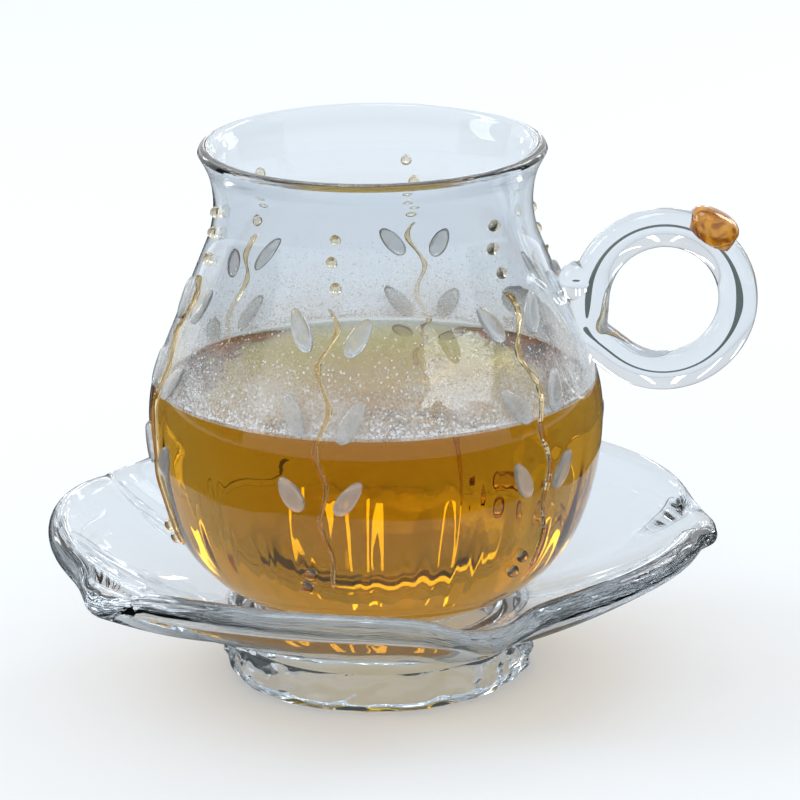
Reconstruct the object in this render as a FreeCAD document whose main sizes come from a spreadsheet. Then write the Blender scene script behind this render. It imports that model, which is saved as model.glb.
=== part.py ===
import FreeCAD, Part
import math
import os

import Sketcher

# A blown glass tea cup with a ring handle, standing on its five-petalled, footed glass saucer.
# Tea fills the cup to just above its widest girth. Six flame-worked vines climb the cup's wall.
# Frame: millimetres, +Z up, origin on the cup's axis at the plane that the saucer's foot rests on.
# The handle lies in the XZ plane on the +X side. Azimuths run from -Y (the front) towards +X.

Vector = FreeCAD.Vector

# Driving dimensions, in millimetres unless the note says otherwise: (alias, value, note).
SIZES = [
    ("foot_radius", 30.6, "widest radius of the saucer's foot ring, at its bulge"),
    ("foot_neck_radius", 28.0, "outer radius of the foot ring above the bulge"),
    ("foot_bore_radius", 25.0, "inner radius of the foot ring"),
    ("foot_neck_height", 7.4, "height where the foot's bulge begins"),
    ("foot_land", 2.4, "width of the flat land that the foot rests on"),
    ("seat_height", 14.5, "height of the seat that the cup stands on"),
    ("seat_radius", 19.0, "radius of the saucer's raised seat"),
    ("seat_step", 0.7, "rise of the seat above the saucer's floor"),
    ("seat_glass", 3.9, "thickness of the glass in the seat"),
    ("petal_start", 15.0, "radius where the petals' wall leaves the seat"),
    ("petal_glass", 3.0, "thickness of the petals' wall"),
    ("petal_sweep", 2.3, "exponent of the petals' upward curve"),
    ("rim_radius", 61.6, "radius of the rim bead's centre at mid petal"),
    ("rim_height", 29.0, "height of the rim bead's centre at mid petal"),
    ("rim_bead", 2.7, "radius of the rim's bead"),
    ("rim_dip", 3.2, "drop of the rim from mid petal to the corner between two petals"),
    ("rim_notch", 1.6, "draw-in of the rim on both sides of a corner"),
    ("tip_reach", 4.0, "reach of the pinched tip beyond the drawn-in rim"),
    ("tip_bead", 1.7, "radius of the rim's bead at a pinched tip"),
    ("corner_drop", 1.9, "radius of the glass drop melted on at each corner"),
    ("corner_turn", 18.0, "azimuth of the first corner, in degrees"),
    ("wall", 1.8, "thickness of the cup's wall"),
    ("base_glass", 2.6, "thickness of the cup's base"),
    ("lip_rise", 9.9, "height of the lip bead's centre above the neck"),
    ("mouth_clear", 3.0, "reach of the hollow's tool beyond the mouth"),
    ("belly_radius", 44.05, "outer radius of the cup at its girth"),
    ("belly_height", 37.5, "height of the girth above the cup's base"),
    ("belly_round", 58.0, "radius of the arc below the girth"),
    ("heel_round", 27.0, "radius of the arc that turns under to the base"),
    ("shoulder_round", 28.0, "radius of the arc above the girth"),
    ("neck_radius", 30.65, "outer radius of the cup at its neck"),
    ("neck_rise", 42.2, "height of the neck above the girth"),
    ("neck_round", 21.5, "radius of the hollow arc of the neck"),
    ("lip_bead", 1.3, "radius of the fire-polished bead round the lip"),
    ("tea_depth", 43.55, "height of the tea's surface above the cup's base"),
        ("ring_height", 59.0, "height of the handle ring's centre above the cup's base"),
    ("ring_mean", 14.3, "mean radius of the handle ring"),
    ("rod_radius", 3.8, "radius of the rod that the handle is bent from"),
    ("tip_round", 4.5, "radius of the bend where the loop comes to its point at the wall"),
    ("tip_draw", 1.3, "draw of that bend's centre beyond the place where it would touch the ring inside"),
    ("tip_clear", 8.45, "distance of that bend's centre out from the wall's chord between girth and neck"),
    ("tip_drop", 23.5, "angle of that centre below the horizontal, in degrees"),
    ("gather_radius", 4.0, "radius of the gather of glass between the loop and the wall"),
    ("gather_clear", 3.38, "distance of the gather's centre out from that chord"),
    ("gather_rise", 3.8, "height of the gather's centre above the ring's centre"),
    ("thumb_angle", 57.0, "place of the amber drop on the ring, in degrees above the horizontal"),
    ("thumb_out", 2.0, "distance of the drop's centre outside the rod's centre line"),
    ("thumb_long", 5.2, "half length of the drop along the ring"),
    ("thumb_wide", 4.35, "half width of the drop across the ring"),
    ("vine_turn", -14.0, "azimuth of the first vine, in degrees"),
    ("vine_top", 67.2, "height of a vine's upper end above the cup's base"),
    ("vine_foot", 14.5, "height of a vine's lower end above the cup's base"),
    ("vine_sway", 1.9, "sideways sway of a stem"),
    ("stem_radius", 0.75, "radius of a stem's thread"),
    ("leaf_long", 4.1, "half length of a leaf"),
    ("leaf_wide", 1.8, "half width of a leaf"),
    ("leaf_rise", 0.9, "rise of a leaf above the wall"),
    ("leaf_out", 5.6, "distance of a leaf's middle from its stem's middle line"),
    ("leaf_slant", 32.0, "lean of a leaf away from the upright, in degrees"),
    ("bead_radius", 1.15, "radius of a glass bead"),
    ("melt_film", 0.03, "clearance under a bead's flat base, for the curve of the wall"),
]

PETALS = 5
PETAL_SECTIONS = 10
VINES = 6
STEM_POINTS = 25
STEM_WAVES = 3.7
STEM_FADE = 1.3
STEM_SUNK = 0.35
STEM_BULB = 1.6
BEAD_SUNK = 20.0
FOOT_BEAD_ASIDE = 2.5
PETAL_STEPS = 6
PINCH_WIDTH = 0.16
NOTCH_POWER = 4
DIP_POWER = 3
SWELL_POWER = 6
FLUSH = "0"
LEAF_HEIGHTS = (62.5, 48.3, 33.2)
TOP_BEAD_HEIGHTS = (79.8, 75.5, 70.8)
FOOT_BEAD_HEIGHTS = (17.6, 14.6)

doc = FreeCAD.newDocument("GlassCupAndSaucer")
sheet = doc.addObject("Spreadsheet::Sheet", "sizes")
for row, (alias, value, note) in enumerate(SIZES, start=1):
    sheet.set("A%d" % row, alias)
    sheet.set("B%d" % row, str(value))
    sheet.set("C%d" % row, note)
    sheet.setAlias("B%d" % row, alias)
doc.recompute()


def size(alias):
    """Value of one driving dimension."""
    return float(getattr(sheet, alias))


# ---------------------------------------------------------------- helpers for the objects

def origin_plane(body, role):
    """One of a body's own origin planes, found by its role."""
    for feature in body.Origin.OriginFeatures:
        if feature.Role == role:
            return feature
    raise ValueError("no origin plane " + role)


def new_sketch(body, name, role):
    """A sketch on one of the body's own origin planes."""
    sketch = body.newObject("Sketcher::SketchObject", name)
    sketch.AttachmentSupport = [(origin_plane(body, role), "")]
    sketch.MapMode = "FlatFace"
    return sketch


def dimension(sketch, expression, kind, *where):
    """Add a dimensional constraint at its present value and bind it to the sheet."""
    index = sketch.addConstraint(Sketcher.Constraint(kind, *where, evaluate(expression)))
    sketch.setExpression("Constraints[%d]" % index, expression)


def evaluate(expression):
    """Value of an expression over the sheet's aliases."""
    return float(sheet.evalExpression(expression.replace("sizes.", "")))


def chain(sketch, elements):
    """Join each element's end to the next one's start and the last one's end to the first."""
    for index in range(len(elements)):
        after = elements[(index + 1) % len(elements)]
        here, here_end = elements[index][0], elements[index][2]
        sketch.addConstraint(Sketcher.Constraint("Coincident", here, here_end, after[0], after[1]))


def revolve(body, sketch, name):
    """Turn a profile fully about the body's Z axis."""
    feature = body.newObject("PartDesign::Revolution", name)
    feature.Profile = sketch
    feature.ReferenceAxis = (sketch, ["V_Axis"])
    feature.Angle = 360.0
    sketch.Visibility = False
    return feature


def glass_feature(name, shape):
    """A feature whose shape is worked out in code, for forms that no sketch describes."""
    feature = doc.addObject("Part::Feature", name)
    feature.Shape = shape
    return feature


# ---------------------------------------------------------------- the cup's outline

NECK_HEIGHT = "(sizes.belly_height + sizes.neck_rise)"
LIP_HEIGHT = "(sizes.belly_height + sizes.neck_rise + sizes.lip_rise)"


def wall_chord(height):
    """Expression for the radius, at a height, of the chord from the girth to the neck."""
    share = "(%s - (%s)) / sizes.neck_rise" % (NECK_HEIGHT, height)
    return "(sizes.neck_radius + (sizes.belly_radius - sizes.neck_radius) * %s)" % share


TIP_DISTANCE = "(sizes.ring_mean - sizes.tip_round + sizes.tip_draw)"
TIP_REACH = "(%s + sizes.tip_clear)" % wall_chord("sizes.ring_height")
RING_REACH = "(%s + %s * cos(sizes.tip_drop))" % (TIP_REACH, TIP_DISTANCE)
GATHER_HEIGHT = "(sizes.ring_height + sizes.gather_rise)"
GATHER_REACH = "(%s + sizes.gather_clear)" % wall_chord(GATHER_HEIGHT)


def cup_outline(inset, floor, rise):
    """Outline of the cup from its base to its mouth, moved inwards by inset.

    Gives the arcs' centres, radii and end angles as {name: (centre, radius, start, end)}, angles
    running anticlockwise, with the base's height and the mouth's height.
    """
    base = size("seat_height")
    girth = base + size("belly_height")
    heel_round = size("heel_round")
    belly_round = size("belly_round")
    shoulder_round = size("shoulder_round")
    neck_round = size("neck_round")
    belly = Vector(size("belly_radius") - belly_round, girth, 0)
    shoulder = Vector(size("belly_radius") - shoulder_round, girth, 0)
    neck = Vector(size("neck_radius") + neck_round, base + evaluate(NECK_HEIGHT), 0)
    drop = girth - base - heel_round
    heel = Vector(belly.x + math.sqrt((belly_round - heel_round) ** 2 - drop ** 2), base + heel_round, 0)
    heel_end = math.atan2(heel.y - belly.y, heel.x - belly.x)
    span = neck - shoulder
    slope = math.atan2(span.y, span.x) - math.acos((shoulder_round + neck_round) / span.Length)
    floor_height = base + floor
    mouth = base + evaluate(LIP_HEIGHT) + rise
    heel_start = -math.acos(0.0)
    if floor > inset:
        heel_start = math.asin((floor_height - heel.y) / (heel_round - inset))
    mouth_angle = math.pi - math.asin((mouth - neck.y) / (neck_round + inset))
    arcs = {
        "heel": (heel, heel_round - inset, heel_start, heel_end),
        "belly": (belly, belly_round - inset, heel_end, 0.0),
        "shoulder": (shoulder, shoulder_round - inset, 0.0, slope),
        "neck": (neck, neck_round + inset, mouth_angle, math.pi + slope),
    }
    return arcs, floor_height, mouth


def on_arc(arc, angle):
    """Point of an arc at an angle."""
    centre, radius = arc[0], arc[1]
    return centre + Vector(math.cos(angle), math.sin(angle), 0) * radius


def arc_edge(arc):
    """Sketch geometry for one arc of the outline."""
    centre, radius, start, end = arc
    return Part.ArcOfCircle(Part.Circle(centre, Vector(0, 0, 1), radius), start, end)


def outline_sketch(body, name, inset, floor, rise):
    """A closed half profile between the axis and the cup's outline, driven by the sheet.

    inset, floor and rise are sheet expressions, or FLUSH where the outline is the outer one.
    """
    arcs, floor_height, mouth = cup_outline(evaluate(inset), evaluate(floor), evaluate(rise))
    heel, belly, shoulder, neck = arcs["heel"], arcs["belly"], arcs["shoulder"], arcs["neck"]
    base_end = on_arc(heel, heel[2])
    mouth_end = on_arc(neck, neck[2])
    sketch = new_sketch(body, name, "XZ_Plane")
    base_line = sketch.addGeometry(Part.LineSegment(Vector(0, floor_height, 0), base_end))
    heel_arc = sketch.addGeometry(arc_edge(heel))
    belly_arc = sketch.addGeometry(arc_edge(belly))
    shoulder_arc = sketch.addGeometry(arc_edge(shoulder))
    slope_line = sketch.addGeometry(Part.LineSegment(on_arc(shoulder, shoulder[3]), on_arc(neck, neck[3])))
    neck_arc = sketch.addGeometry(arc_edge(neck))
    mouth_line = sketch.addGeometry(Part.LineSegment(mouth_end, Vector(0, mouth, 0)))
    axis_line = sketch.addGeometry(Part.LineSegment(Vector(0, mouth, 0), Vector(0, floor_height, 0)))
    constrain = sketch.addConstraint
    if evaluate(floor) > evaluate(inset):
        constrain(Sketcher.Constraint("Coincident", base_line, 2, heel_arc, 1))
        dimension(sketch, "sizes.seat_height + sizes.heel_round", "DistanceY", -1, 1, heel_arc, 3)
    else:
        constrain(Sketcher.Constraint("Tangent", base_line, 2, heel_arc, 1))
    constrain(Sketcher.Constraint("Tangent", heel_arc, 2, belly_arc, 1))
    constrain(Sketcher.Constraint("Coincident", belly_arc, 2, shoulder_arc, 1))
    constrain(Sketcher.Constraint("Horizontal", belly_arc, 3, belly_arc, 2))
    constrain(Sketcher.Constraint("Horizontal", shoulder_arc, 3, shoulder_arc, 1))
    constrain(Sketcher.Constraint("Tangent", shoulder_arc, 2, slope_line, 1))
    constrain(Sketcher.Constraint("Tangent", slope_line, 2, neck_arc, 2))
    constrain(Sketcher.Constraint("Coincident", neck_arc, 1, mouth_line, 1))
    constrain(Sketcher.Constraint("Coincident", mouth_line, 2, axis_line, 1))
    constrain(Sketcher.Constraint("Coincident", axis_line, 2, base_line, 1))
    constrain(Sketcher.Constraint("Horizontal", base_line))
    constrain(Sketcher.Constraint("Horizontal", mouth_line))
    constrain(Sketcher.Constraint("PointOnObject", base_line, 1, -2))
    constrain(Sketcher.Constraint("PointOnObject", mouth_line, 2, -2))
    dimension(sketch, "sizes.seat_height + " + floor, "DistanceY", -1, 1, base_line, 1)
    dimension(sketch, "sizes.seat_height + " + LIP_HEIGHT + " + " + rise, "DistanceY", -1, 1, mouth_line, 2)
    dimension(sketch, "sizes.seat_height + sizes.belly_height", "DistanceY", -1, 1, belly_arc, 2)
    dimension(sketch, "sizes.belly_radius - " + inset, "DistanceX", -1, 1, belly_arc, 2)
    dimension(sketch, "sizes.neck_radius + sizes.neck_round", "DistanceX", -1, 1, neck_arc, 3)
    dimension(sketch, "sizes.seat_height + " + NECK_HEIGHT, "DistanceY", -1, 1, neck_arc, 3)
    dimension(sketch, "sizes.heel_round - " + inset, "Radius", heel_arc)
    dimension(sketch, "sizes.belly_round - " + inset, "Radius", belly_arc)
    dimension(sketch, "sizes.shoulder_round - " + inset, "Radius", shoulder_arc)
    dimension(sketch, "sizes.neck_round + " + inset, "Radius", neck_arc)
    return sketch


# ---------------------------------------------------------------- cup, with its handle, and tea

def ring_path(body):
    """The loop of the handle: a ring drawn to a rounded point where it meets the wall."""
    drop = math.radians(size("tip_drop"))
    centre = Vector(evaluate(RING_REACH), size("seat_height") + size("ring_height"), 0)
    tip = centre - Vector(math.cos(drop), math.sin(drop), 0) * evaluate(TIP_DISTANCE)
    toward = math.pi + drop
    half = math.acos((size("ring_mean") - size("tip_round")) / evaluate(TIP_DISTANCE))
    ring = (centre, size("ring_mean"), toward + half, toward - half + 2 * math.pi)
    bend = (tip, size("tip_round"), toward - half, toward + half)
    sketch = new_sketch(body, "ring_path", "XZ_Plane")
    ring_arc = sketch.addGeometry(arc_edge(ring))
    upper_run = sketch.addGeometry(Part.LineSegment(on_arc(ring, ring[3]), on_arc(bend, bend[2])))
    bend_arc = sketch.addGeometry(arc_edge(bend))
    lower_run = sketch.addGeometry(Part.LineSegment(on_arc(bend, bend[3]), on_arc(ring, ring[2])))
    sketch.addConstraint(Sketcher.Constraint("Tangent", ring_arc, 2, upper_run, 1))
    sketch.addConstraint(Sketcher.Constraint("Tangent", upper_run, 2, bend_arc, 1))
    sketch.addConstraint(Sketcher.Constraint("Tangent", bend_arc, 2, lower_run, 1))
    sketch.addConstraint(Sketcher.Constraint("Tangent", lower_run, 2, ring_arc, 1))
    dimension(sketch, RING_REACH, "DistanceX", -1, 1, ring_arc, 3)
    dimension(sketch, "sizes.seat_height + sizes.ring_height", "DistanceY", -1, 1, ring_arc, 3)
    dimension(sketch, "sizes.ring_mean", "Radius", ring_arc)
    dimension(sketch, "sizes.tip_round", "Radius", bend_arc)
    dimension(sketch, TIP_DISTANCE + " * cos(sizes.tip_drop)", "DistanceX", bend_arc, 3, ring_arc, 3)
    dimension(sketch, TIP_DISTANCE + " * sin(sizes.tip_drop)", "DistanceY", bend_arc, 3, ring_arc, 3)
    return sketch


def rod_section(body):
    """The rod's round section, at the top of the ring and square to it."""
    sketch = new_sketch(body, "rod_section", "YZ_Plane")
    sketch.setExpression("AttachmentOffset.Base.z", RING_REACH)
    centre = Vector(0, size("seat_height") + size("ring_height") + size("ring_mean"), 0)
    circle = sketch.addGeometry(Part.Circle(centre, Vector(0, 0, 1), size("rod_radius")))
    sketch.addConstraint(Sketcher.Constraint("PointOnObject", circle, 3, -2))
    height = "sizes.seat_height + sizes.ring_height + sizes.ring_mean"
    dimension(sketch, height, "DistanceY", -1, 1, circle, 3)
    dimension(sketch, "sizes.rod_radius", "Radius", circle)
    return sketch


def make_cup():
    """The cup: a blown body with its looped rod handle, hollowed out and beaded at the lip."""
    blank = doc.addObject("PartDesign::Body", "cup_blank")
    revolve(blank, outline_sketch(blank, "cup_outline", FLUSH, FLUSH, FLUSH), "cup_turned")
    path = ring_path(blank)
    section = rod_section(blank)
    handle = blank.newObject("PartDesign::AdditivePipe", "handle_rod")
    handle.Profile = section
    handle.Spine = path
    hollow = doc.addObject("PartDesign::Body", "cup_hollow")
    inner = outline_sketch(hollow, "hollow_outline", "sizes.wall", "sizes.base_glass", "sizes.mouth_clear")
    revolve(hollow, inner, "hollow_turned")
    gather = doc.addObject("Part::Sphere", "handle_gather")
    gather.setExpression("Radius", "sizes.gather_radius")
    gather.setExpression("Placement.Base.x", GATHER_REACH)
    gather.setExpression("Placement.Base.z", "sizes.seat_height + " + GATHER_HEIGHT)
    solid = doc.addObject("Part::MultiFuse", "cup_solid")
    solid.Shapes = [blank, gather]
    opened = doc.addObject("Part::Cut", "cup_opened")
    opened.Base = solid
    opened.Tool = hollow
    bead = doc.addObject("Part::Torus", "lip_ring")
    reach = "sqrt((sizes.neck_round + sizes.wall / 2)^2 - sizes.lip_rise^2)"
    bead.setExpression("Radius1", "sizes.neck_radius + sizes.neck_round - " + reach)
    bead.setExpression("Radius2", "sizes.lip_bead")
    bead.setExpression("Placement.Base.z", "sizes.seat_height + " + LIP_HEIGHT)
    cup = doc.addObject("Part::MultiFuse", "cup")
    cup.Shapes = [opened, bead]
    doc.recompute()
    return cup, blank, hollow


def make_tea(hollow):
    """The tea: what the hollow holds up to the level of the tea."""
    filled = doc.addObject("Part::Cylinder", "tea_level")
    filled.setExpression("Radius", "sizes.belly_radius")
    filled.setExpression("Height", "sizes.seat_height + sizes.tea_depth")
    tea = doc.addObject("Part::Common", "tea")
    tea.Base = hollow
    tea.Tool = filled
    return tea


def make_thumb_drop(cup):
    """The amber drop melted over the top of the ring: what stands clear of the rod is a piece."""
    angle = "(sizes.thumb_angle)"
    out = "(sizes.ring_mean + sizes.thumb_out)"
    blob = doc.addObject("Part::Ellipsoid", "thumb_blob")
    blob.Angle1 = -90.0
    blob.setExpression("Radius1", "sizes.thumb_wide")
    blob.setExpression("Radius2", "sizes.thumb_long")
    blob.setExpression("Radius3", "sizes.thumb_wide")
    turned = FreeCAD.Rotation(Vector(0, 1, 0), 90.0 - size("thumb_angle"))
    blob.Placement = FreeCAD.Placement(Vector(0, 0, 0), turned)
    blob.setExpression("Placement.Rotation.Angle", "90 - sizes.thumb_angle")
    blob.setExpression("Placement.Base.x", "%s + %s * cos%s" % (RING_REACH, out, angle))
    blob.setExpression("Placement.Base.z", "sizes.seat_height + sizes.ring_height + %s * sin%s" % (out, angle))
    drop = doc.addObject("Part::Cut", "thumb_drop")
    drop.Base = blob
    drop.Tool = cup
    return drop


# ---------------------------------------------------------------- vines on the cup's wall

def wall_radius(height):
    """Outer radius of the cup's wall, and the wall's outward slope, at a height above its base."""
    arcs = cup_outline(0.0, 0.0, 0.0)[0]
    level = size("seat_height") + height
    heel, belly, shoulder, neck = arcs["heel"], arcs["belly"], arcs["shoulder"], arcs["neck"]
    lower = on_arc(shoulder, shoulder[3])
    upper = on_arc(neck, neck[3])
    if level >= upper.y:
        rise = level - neck[0].y
        run = math.sqrt(neck[1] ** 2 - rise ** 2)
        return neck[0].x - run, Vector(run, -rise, 0).normalize()
    if level >= lower.y:
        part = (level - lower.y) / (upper.y - lower.y)
        return lower.x + part * (upper.x - lower.x), (lower - shoulder[0]).normalize()
    arc = shoulder
    if level < belly[0].y:
        arc = belly
    if level < on_arc(heel, heel[3]).y:
        arc = heel
    rise = level - arc[0].y
    run = math.sqrt(arc[1] ** 2 - rise ** 2)
    return arc[0].x + run, Vector(run, rise, 0).normalize()


def on_wall(azimuth, height, aside, lift):
    """A point on the cup's wall with the wall's outward normal there.

    azimuth is in degrees, aside is a distance round the wall, lift a distance out of it.
    """
    radius, normal = wall_radius(height)
    turn = math.radians(azimuth) + aside / radius
    out = Vector(math.sin(turn), -math.cos(turn), 0)
    face = out * normal.x + Vector(0, 0, 1) * normal.y
    return out * radius + Vector(0, 0, size("seat_height") + height) + face * lift, face


def wall_frame(face, lean):
    """Rotation that turns X round the wall, Y up it and Z out of it, leaning Y by an angle."""
    upright = (Vector(0, 0, 1) - face * face.z).normalize()
    turned = FreeCAD.Rotation(upright.cross(face), upright, face, "ZYX")
    return turned.multiply(FreeCAD.Rotation(Vector(0, 0, 1), -lean))


def stem_sway(part):
    """Sideways place of a stem at a part of its length, 0 at its upper end and 1 at its lower."""
    return size("vine_sway") * math.sin(2 * math.pi * STEM_WAVES * part) * math.exp(-STEM_FADE * part)


def thread(points, radius):
    """A round glass thread along a smooth line through the points, with a bulb at its start."""
    curve = Part.BSplineCurve()
    curve.interpolate(points)
    path = Part.Wire([curve.toShape()])
    start = curve.tangent(curve.FirstParameter)[0]
    ring = Part.Wire([Part.Circle(points[0], start, radius).toShape()])
    return path.makePipeShell([ring], True, True).fuse(Part.makeSphere(STEM_BULB * radius, points[0]))


def leaf(azimuth, height, side):
    """One oval dab of glass beside a stem, leaning outwards; side is -1 or 1."""
    middle, face = on_wall(azimuth, height, side * size("leaf_out"), 0.0)
    width = size("leaf_wide")
    dab = Part.makeSphere(width)
    stretch = FreeCAD.Matrix()
    stretch.A22 = size("leaf_long") / width
    dab = dab.transformGeometry(stretch)
    centre = middle + face * (size("leaf_rise") - width)
    dab.Placement = FreeCAD.Placement(centre, wall_frame(face, side * size("leaf_slant")))
    return dab


def bead(azimuth, height, aside):
    """One bead of glass, a dome a little more than half a ball, its flat base on the wall."""
    radius = size("bead_radius")
    lift = radius * math.sin(math.radians(BEAD_SUNK)) + size("melt_film")
    centre, face = on_wall(azimuth, height, aside, lift)
    dome = Part.makeSphere(radius, Vector(0, 0, 0), Vector(0, 0, 1), -BEAD_SUNK, 90.0, 360.0)
    dome.Placement = FreeCAD.Placement(centre, wall_frame(face, 0.0))
    return dome


def make_vine(number, wall):
    """The stem, leaves and beads of one vine, each melted on to the cup's wall."""
    azimuth = size("vine_turn") + number * 360.0 / VINES
    top, foot = size("vine_top"), size("vine_foot")
    points = []
    for index in range(STEM_POINTS):
        part = index / (STEM_POINTS - 1)
        height = top + (foot - top) * part
        points.append(on_wall(azimuth, height, stem_sway(part), STEM_SUNK * size("stem_radius"))[0])
    stem = thread(points, size("stem_radius"))
    leaves = []
    for height in LEAF_HEIGHTS:
        for side in (-1, 1):
            leaves.append(leaf(azimuth, height, side))
    beads = []
    radius = size("bead_radius")
    for index, height in enumerate(TOP_BEAD_HEIGHTS):
        aside = (1 - 2 * (index % 2)) * radius
        beads.append(bead(azimuth, height, aside))
    for index, height in enumerate(FOOT_BEAD_HEIGHTS):
        beads.append(bead(azimuth, height, -(FOOT_BEAD_ASIDE + index) * radius))
    trimmed = [piece.cut(wall).Solids[0] for piece in leaves]
    return [
        glass_feature("vine_%d_stem" % (number + 1), stem.cut(wall)),
        glass_feature("vine_%d_leaves" % (number + 1), Part.makeCompound(trimmed)),
        glass_feature("vine_%d_beads" % (number + 1), Part.makeCompound(beads)),
    ]


# ---------------------------------------------------------------- saucer

def petal_section(part):
    """Wire of a petal's wall at a part of its width, 0 and 1 at its corners.

    The wall leaves the seat level, sweeps up to the rim and ends in a round bead.
    """
    across = abs(2 * part - 1)
    pinch = math.exp(-((1 - across) / PINCH_WIDTH) ** 2)
    reach = size("rim_radius") - size("rim_notch") * across ** NOTCH_POWER + size("tip_reach") * pinch
    height = size("rim_height") - size("rim_dip") * across ** DIP_POWER
    bead = size("rim_bead") + (size("tip_bead") - size("rim_bead")) * pinch
    start = size("petal_start")
    glass = size("petal_glass")
    floor = size("seat_height") - size("seat_step") - glass / 2
    upper, lower = [], []
    for index in range(PETAL_STEPS + 1):
        along = index / PETAL_STEPS
        radius = start + (reach - start) * along
        level = floor + (height - floor) * along ** size("petal_sweep")
        slope = (height - floor) / (reach - start) * size("petal_sweep") * along ** (size("petal_sweep") - 1)
        normal = Vector(-slope, 0, 1).normalize()
        half = glass / 2 + (bead - glass / 2) * along ** SWELL_POWER
        middle = Vector(radius, 0, level)
        upper.append(middle + normal * half)
        lower.append(middle - normal * half)
    outward = Vector(normal.z, 0, -normal.x)
    top_line = Part.BSplineCurve()
    top_line.interpolate(upper)
    under_line = Part.BSplineCurve()
    under_line.interpolate(lower)
    edge = Part.Arc(upper[-1], middle + outward * bead, lower[-1])
    inner = Part.LineSegment(lower[0], upper[0])
    edges = [top_line.toShape(), edge.toShape(), under_line.toShape(), inner.toShape()]
    wire = Part.Wire(Part.__sortEdges__(edges))
    wire.rotate(Vector(0, 0, 0), Vector(0, 0, 1), size("corner_turn") - 90.0 + part * 360.0 / PETALS)
    return wire


def make_petals():
    """Five equal petals, each lofted from corner to corner and set round the axis."""
    sections = []
    for index in range(PETAL_SECTIONS + 1):
        part = 0.5 - 0.5 * math.cos(math.pi * index / PETAL_SECTIONS)
        sections.append(petal_section(part))
    petal = Part.makeLoft(sections, True, False)
    petals = []
    for number in range(PETALS):
        turned = petal.copy()
        turned.rotate(Vector(0, 0, 0), Vector(0, 0, 1), number * 360.0 / PETALS)
        petals.append(glass_feature("petal_%d" % (number + 1), turned))
    return petals


def make_corner_drops():
    """A glass drop melted on the rim at each corner between two petals."""
    drops = []
    for number in range(PETALS):
        drop = doc.addObject("Part::Sphere", "corner_drop_%d" % (number + 1))
        drop.setExpression("Radius", "sizes.corner_drop")
        turn = "(sizes.corner_turn - 90 + %g)" % (number * 360.0 / PETALS)
        out = "(sizes.rim_radius - sizes.rim_notch + sizes.tip_reach)"
        drop.setExpression("Placement.Base.x", "%s * cos%s" % (out, turn))
        drop.setExpression("Placement.Base.y", "%s * sin%s" % (out, turn))
        drop.setExpression("Placement.Base.z", "sizes.rim_height - sizes.rim_dip + sizes.tip_bead / 2")
        drops.append(drop)
    return drops


def foot_sketch(body):
    """Half profile of the saucer's seat and foot ring, on the right of the axis."""
    seat, seat_radius = size("seat_height"), size("seat_radius")
    ledge = seat - size("seat_step") - size("petal_glass") / 2
    under = seat - size("seat_glass")
    neck, bore, land = size("foot_neck_radius"), size("foot_bore_radius"), size("foot_land")
    bulge_start = Vector(neck, size("foot_neck_height"), 0)
    land_outer = Vector(neck, 0, 0)
    bulge = Vector(size("foot_radius"), size("foot_neck_height") / 2, 0)
    sketch = new_sketch(body, "foot_profile", "XZ_Plane")
    corners = [
        Vector(0, under, 0),
        Vector(0, seat, 0),
        Vector(seat_radius, seat, 0),
        Vector(seat_radius, ledge, 0),
        Vector(neck, ledge, 0),
        bulge_start,
    ]
    lines = []
    for here, after in zip(corners, corners[1:]):
        lines.append(sketch.addGeometry(Part.LineSegment(here, after)))
    axis_line, seat_line, step_line, ledge_line, neck_line = lines
    bulge_arc = sketch.addGeometry(Part.Arc(land_outer, bulge, bulge_start))
    land_line = sketch.addGeometry(Part.LineSegment(land_outer, Vector(neck - land, 0, 0)))
    bore_foot = sketch.addGeometry(Part.LineSegment(Vector(neck - land, 0, 0), Vector(bore, land, 0)))
    bore_line = sketch.addGeometry(Part.LineSegment(Vector(bore, land, 0), Vector(bore, under, 0)))
    under_line = sketch.addGeometry(Part.LineSegment(Vector(bore, under, 0), Vector(0, under, 0)))
    constrain = sketch.addConstraint
    chain(sketch, [
        (axis_line, 1, 2), (seat_line, 1, 2), (step_line, 1, 2), (ledge_line, 1, 2), (neck_line, 1, 2),
        (bulge_arc, 2, 1), (land_line, 1, 2), (bore_foot, 1, 2), (bore_line, 1, 2), (under_line, 1, 2),
    ])
    for line in (seat_line, ledge_line, under_line):
        constrain(Sketcher.Constraint("Horizontal", line))
    for line in (axis_line, step_line, neck_line, bore_line):
        constrain(Sketcher.Constraint("Vertical", line))
    constrain(Sketcher.Constraint("PointOnObject", axis_line, 1, -2))
    constrain(Sketcher.Constraint("PointOnObject", land_line, 1, -1))
    constrain(Sketcher.Constraint("PointOnObject", land_line, 2, -1))
    ledge_height = "sizes.seat_height - sizes.seat_step - sizes.petal_glass / 2"
    bulge_radius = "((sizes.foot_radius - sizes.foot_neck_radius)^2 + (sizes.foot_neck_height / 2)^2)"
    bulge_radius += " / (2 * (sizes.foot_radius - sizes.foot_neck_radius))"
    dimension(sketch, "sizes.seat_height", "DistanceY", -1, 1, seat_line, 1)
    dimension(sketch, "sizes.seat_radius", "DistanceX", -1, 1, seat_line, 2)
    dimension(sketch, ledge_height, "DistanceY", -1, 1, ledge_line, 1)
    dimension(sketch, "sizes.foot_neck_radius", "DistanceX", -1, 1, neck_line, 1)
    dimension(sketch, "sizes.foot_neck_height", "DistanceY", -1, 1, neck_line, 2)
    dimension(sketch, "sizes.foot_neck_radius", "DistanceX", -1, 1, land_line, 1)
    dimension(sketch, "sizes.foot_land", "DistanceX", land_line, 2, land_line, 1)
    dimension(sketch, bulge_radius, "Radius", bulge_arc)
    dimension(sketch, "sizes.foot_bore_radius", "DistanceX", -1, 1, bore_line, 1)
    dimension(sketch, "sizes.foot_land", "DistanceY", -1, 1, bore_line, 1)
    dimension(sketch, "sizes.seat_height - sizes.seat_glass", "DistanceY", -1, 1, under_line, 2)
    return sketch


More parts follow.
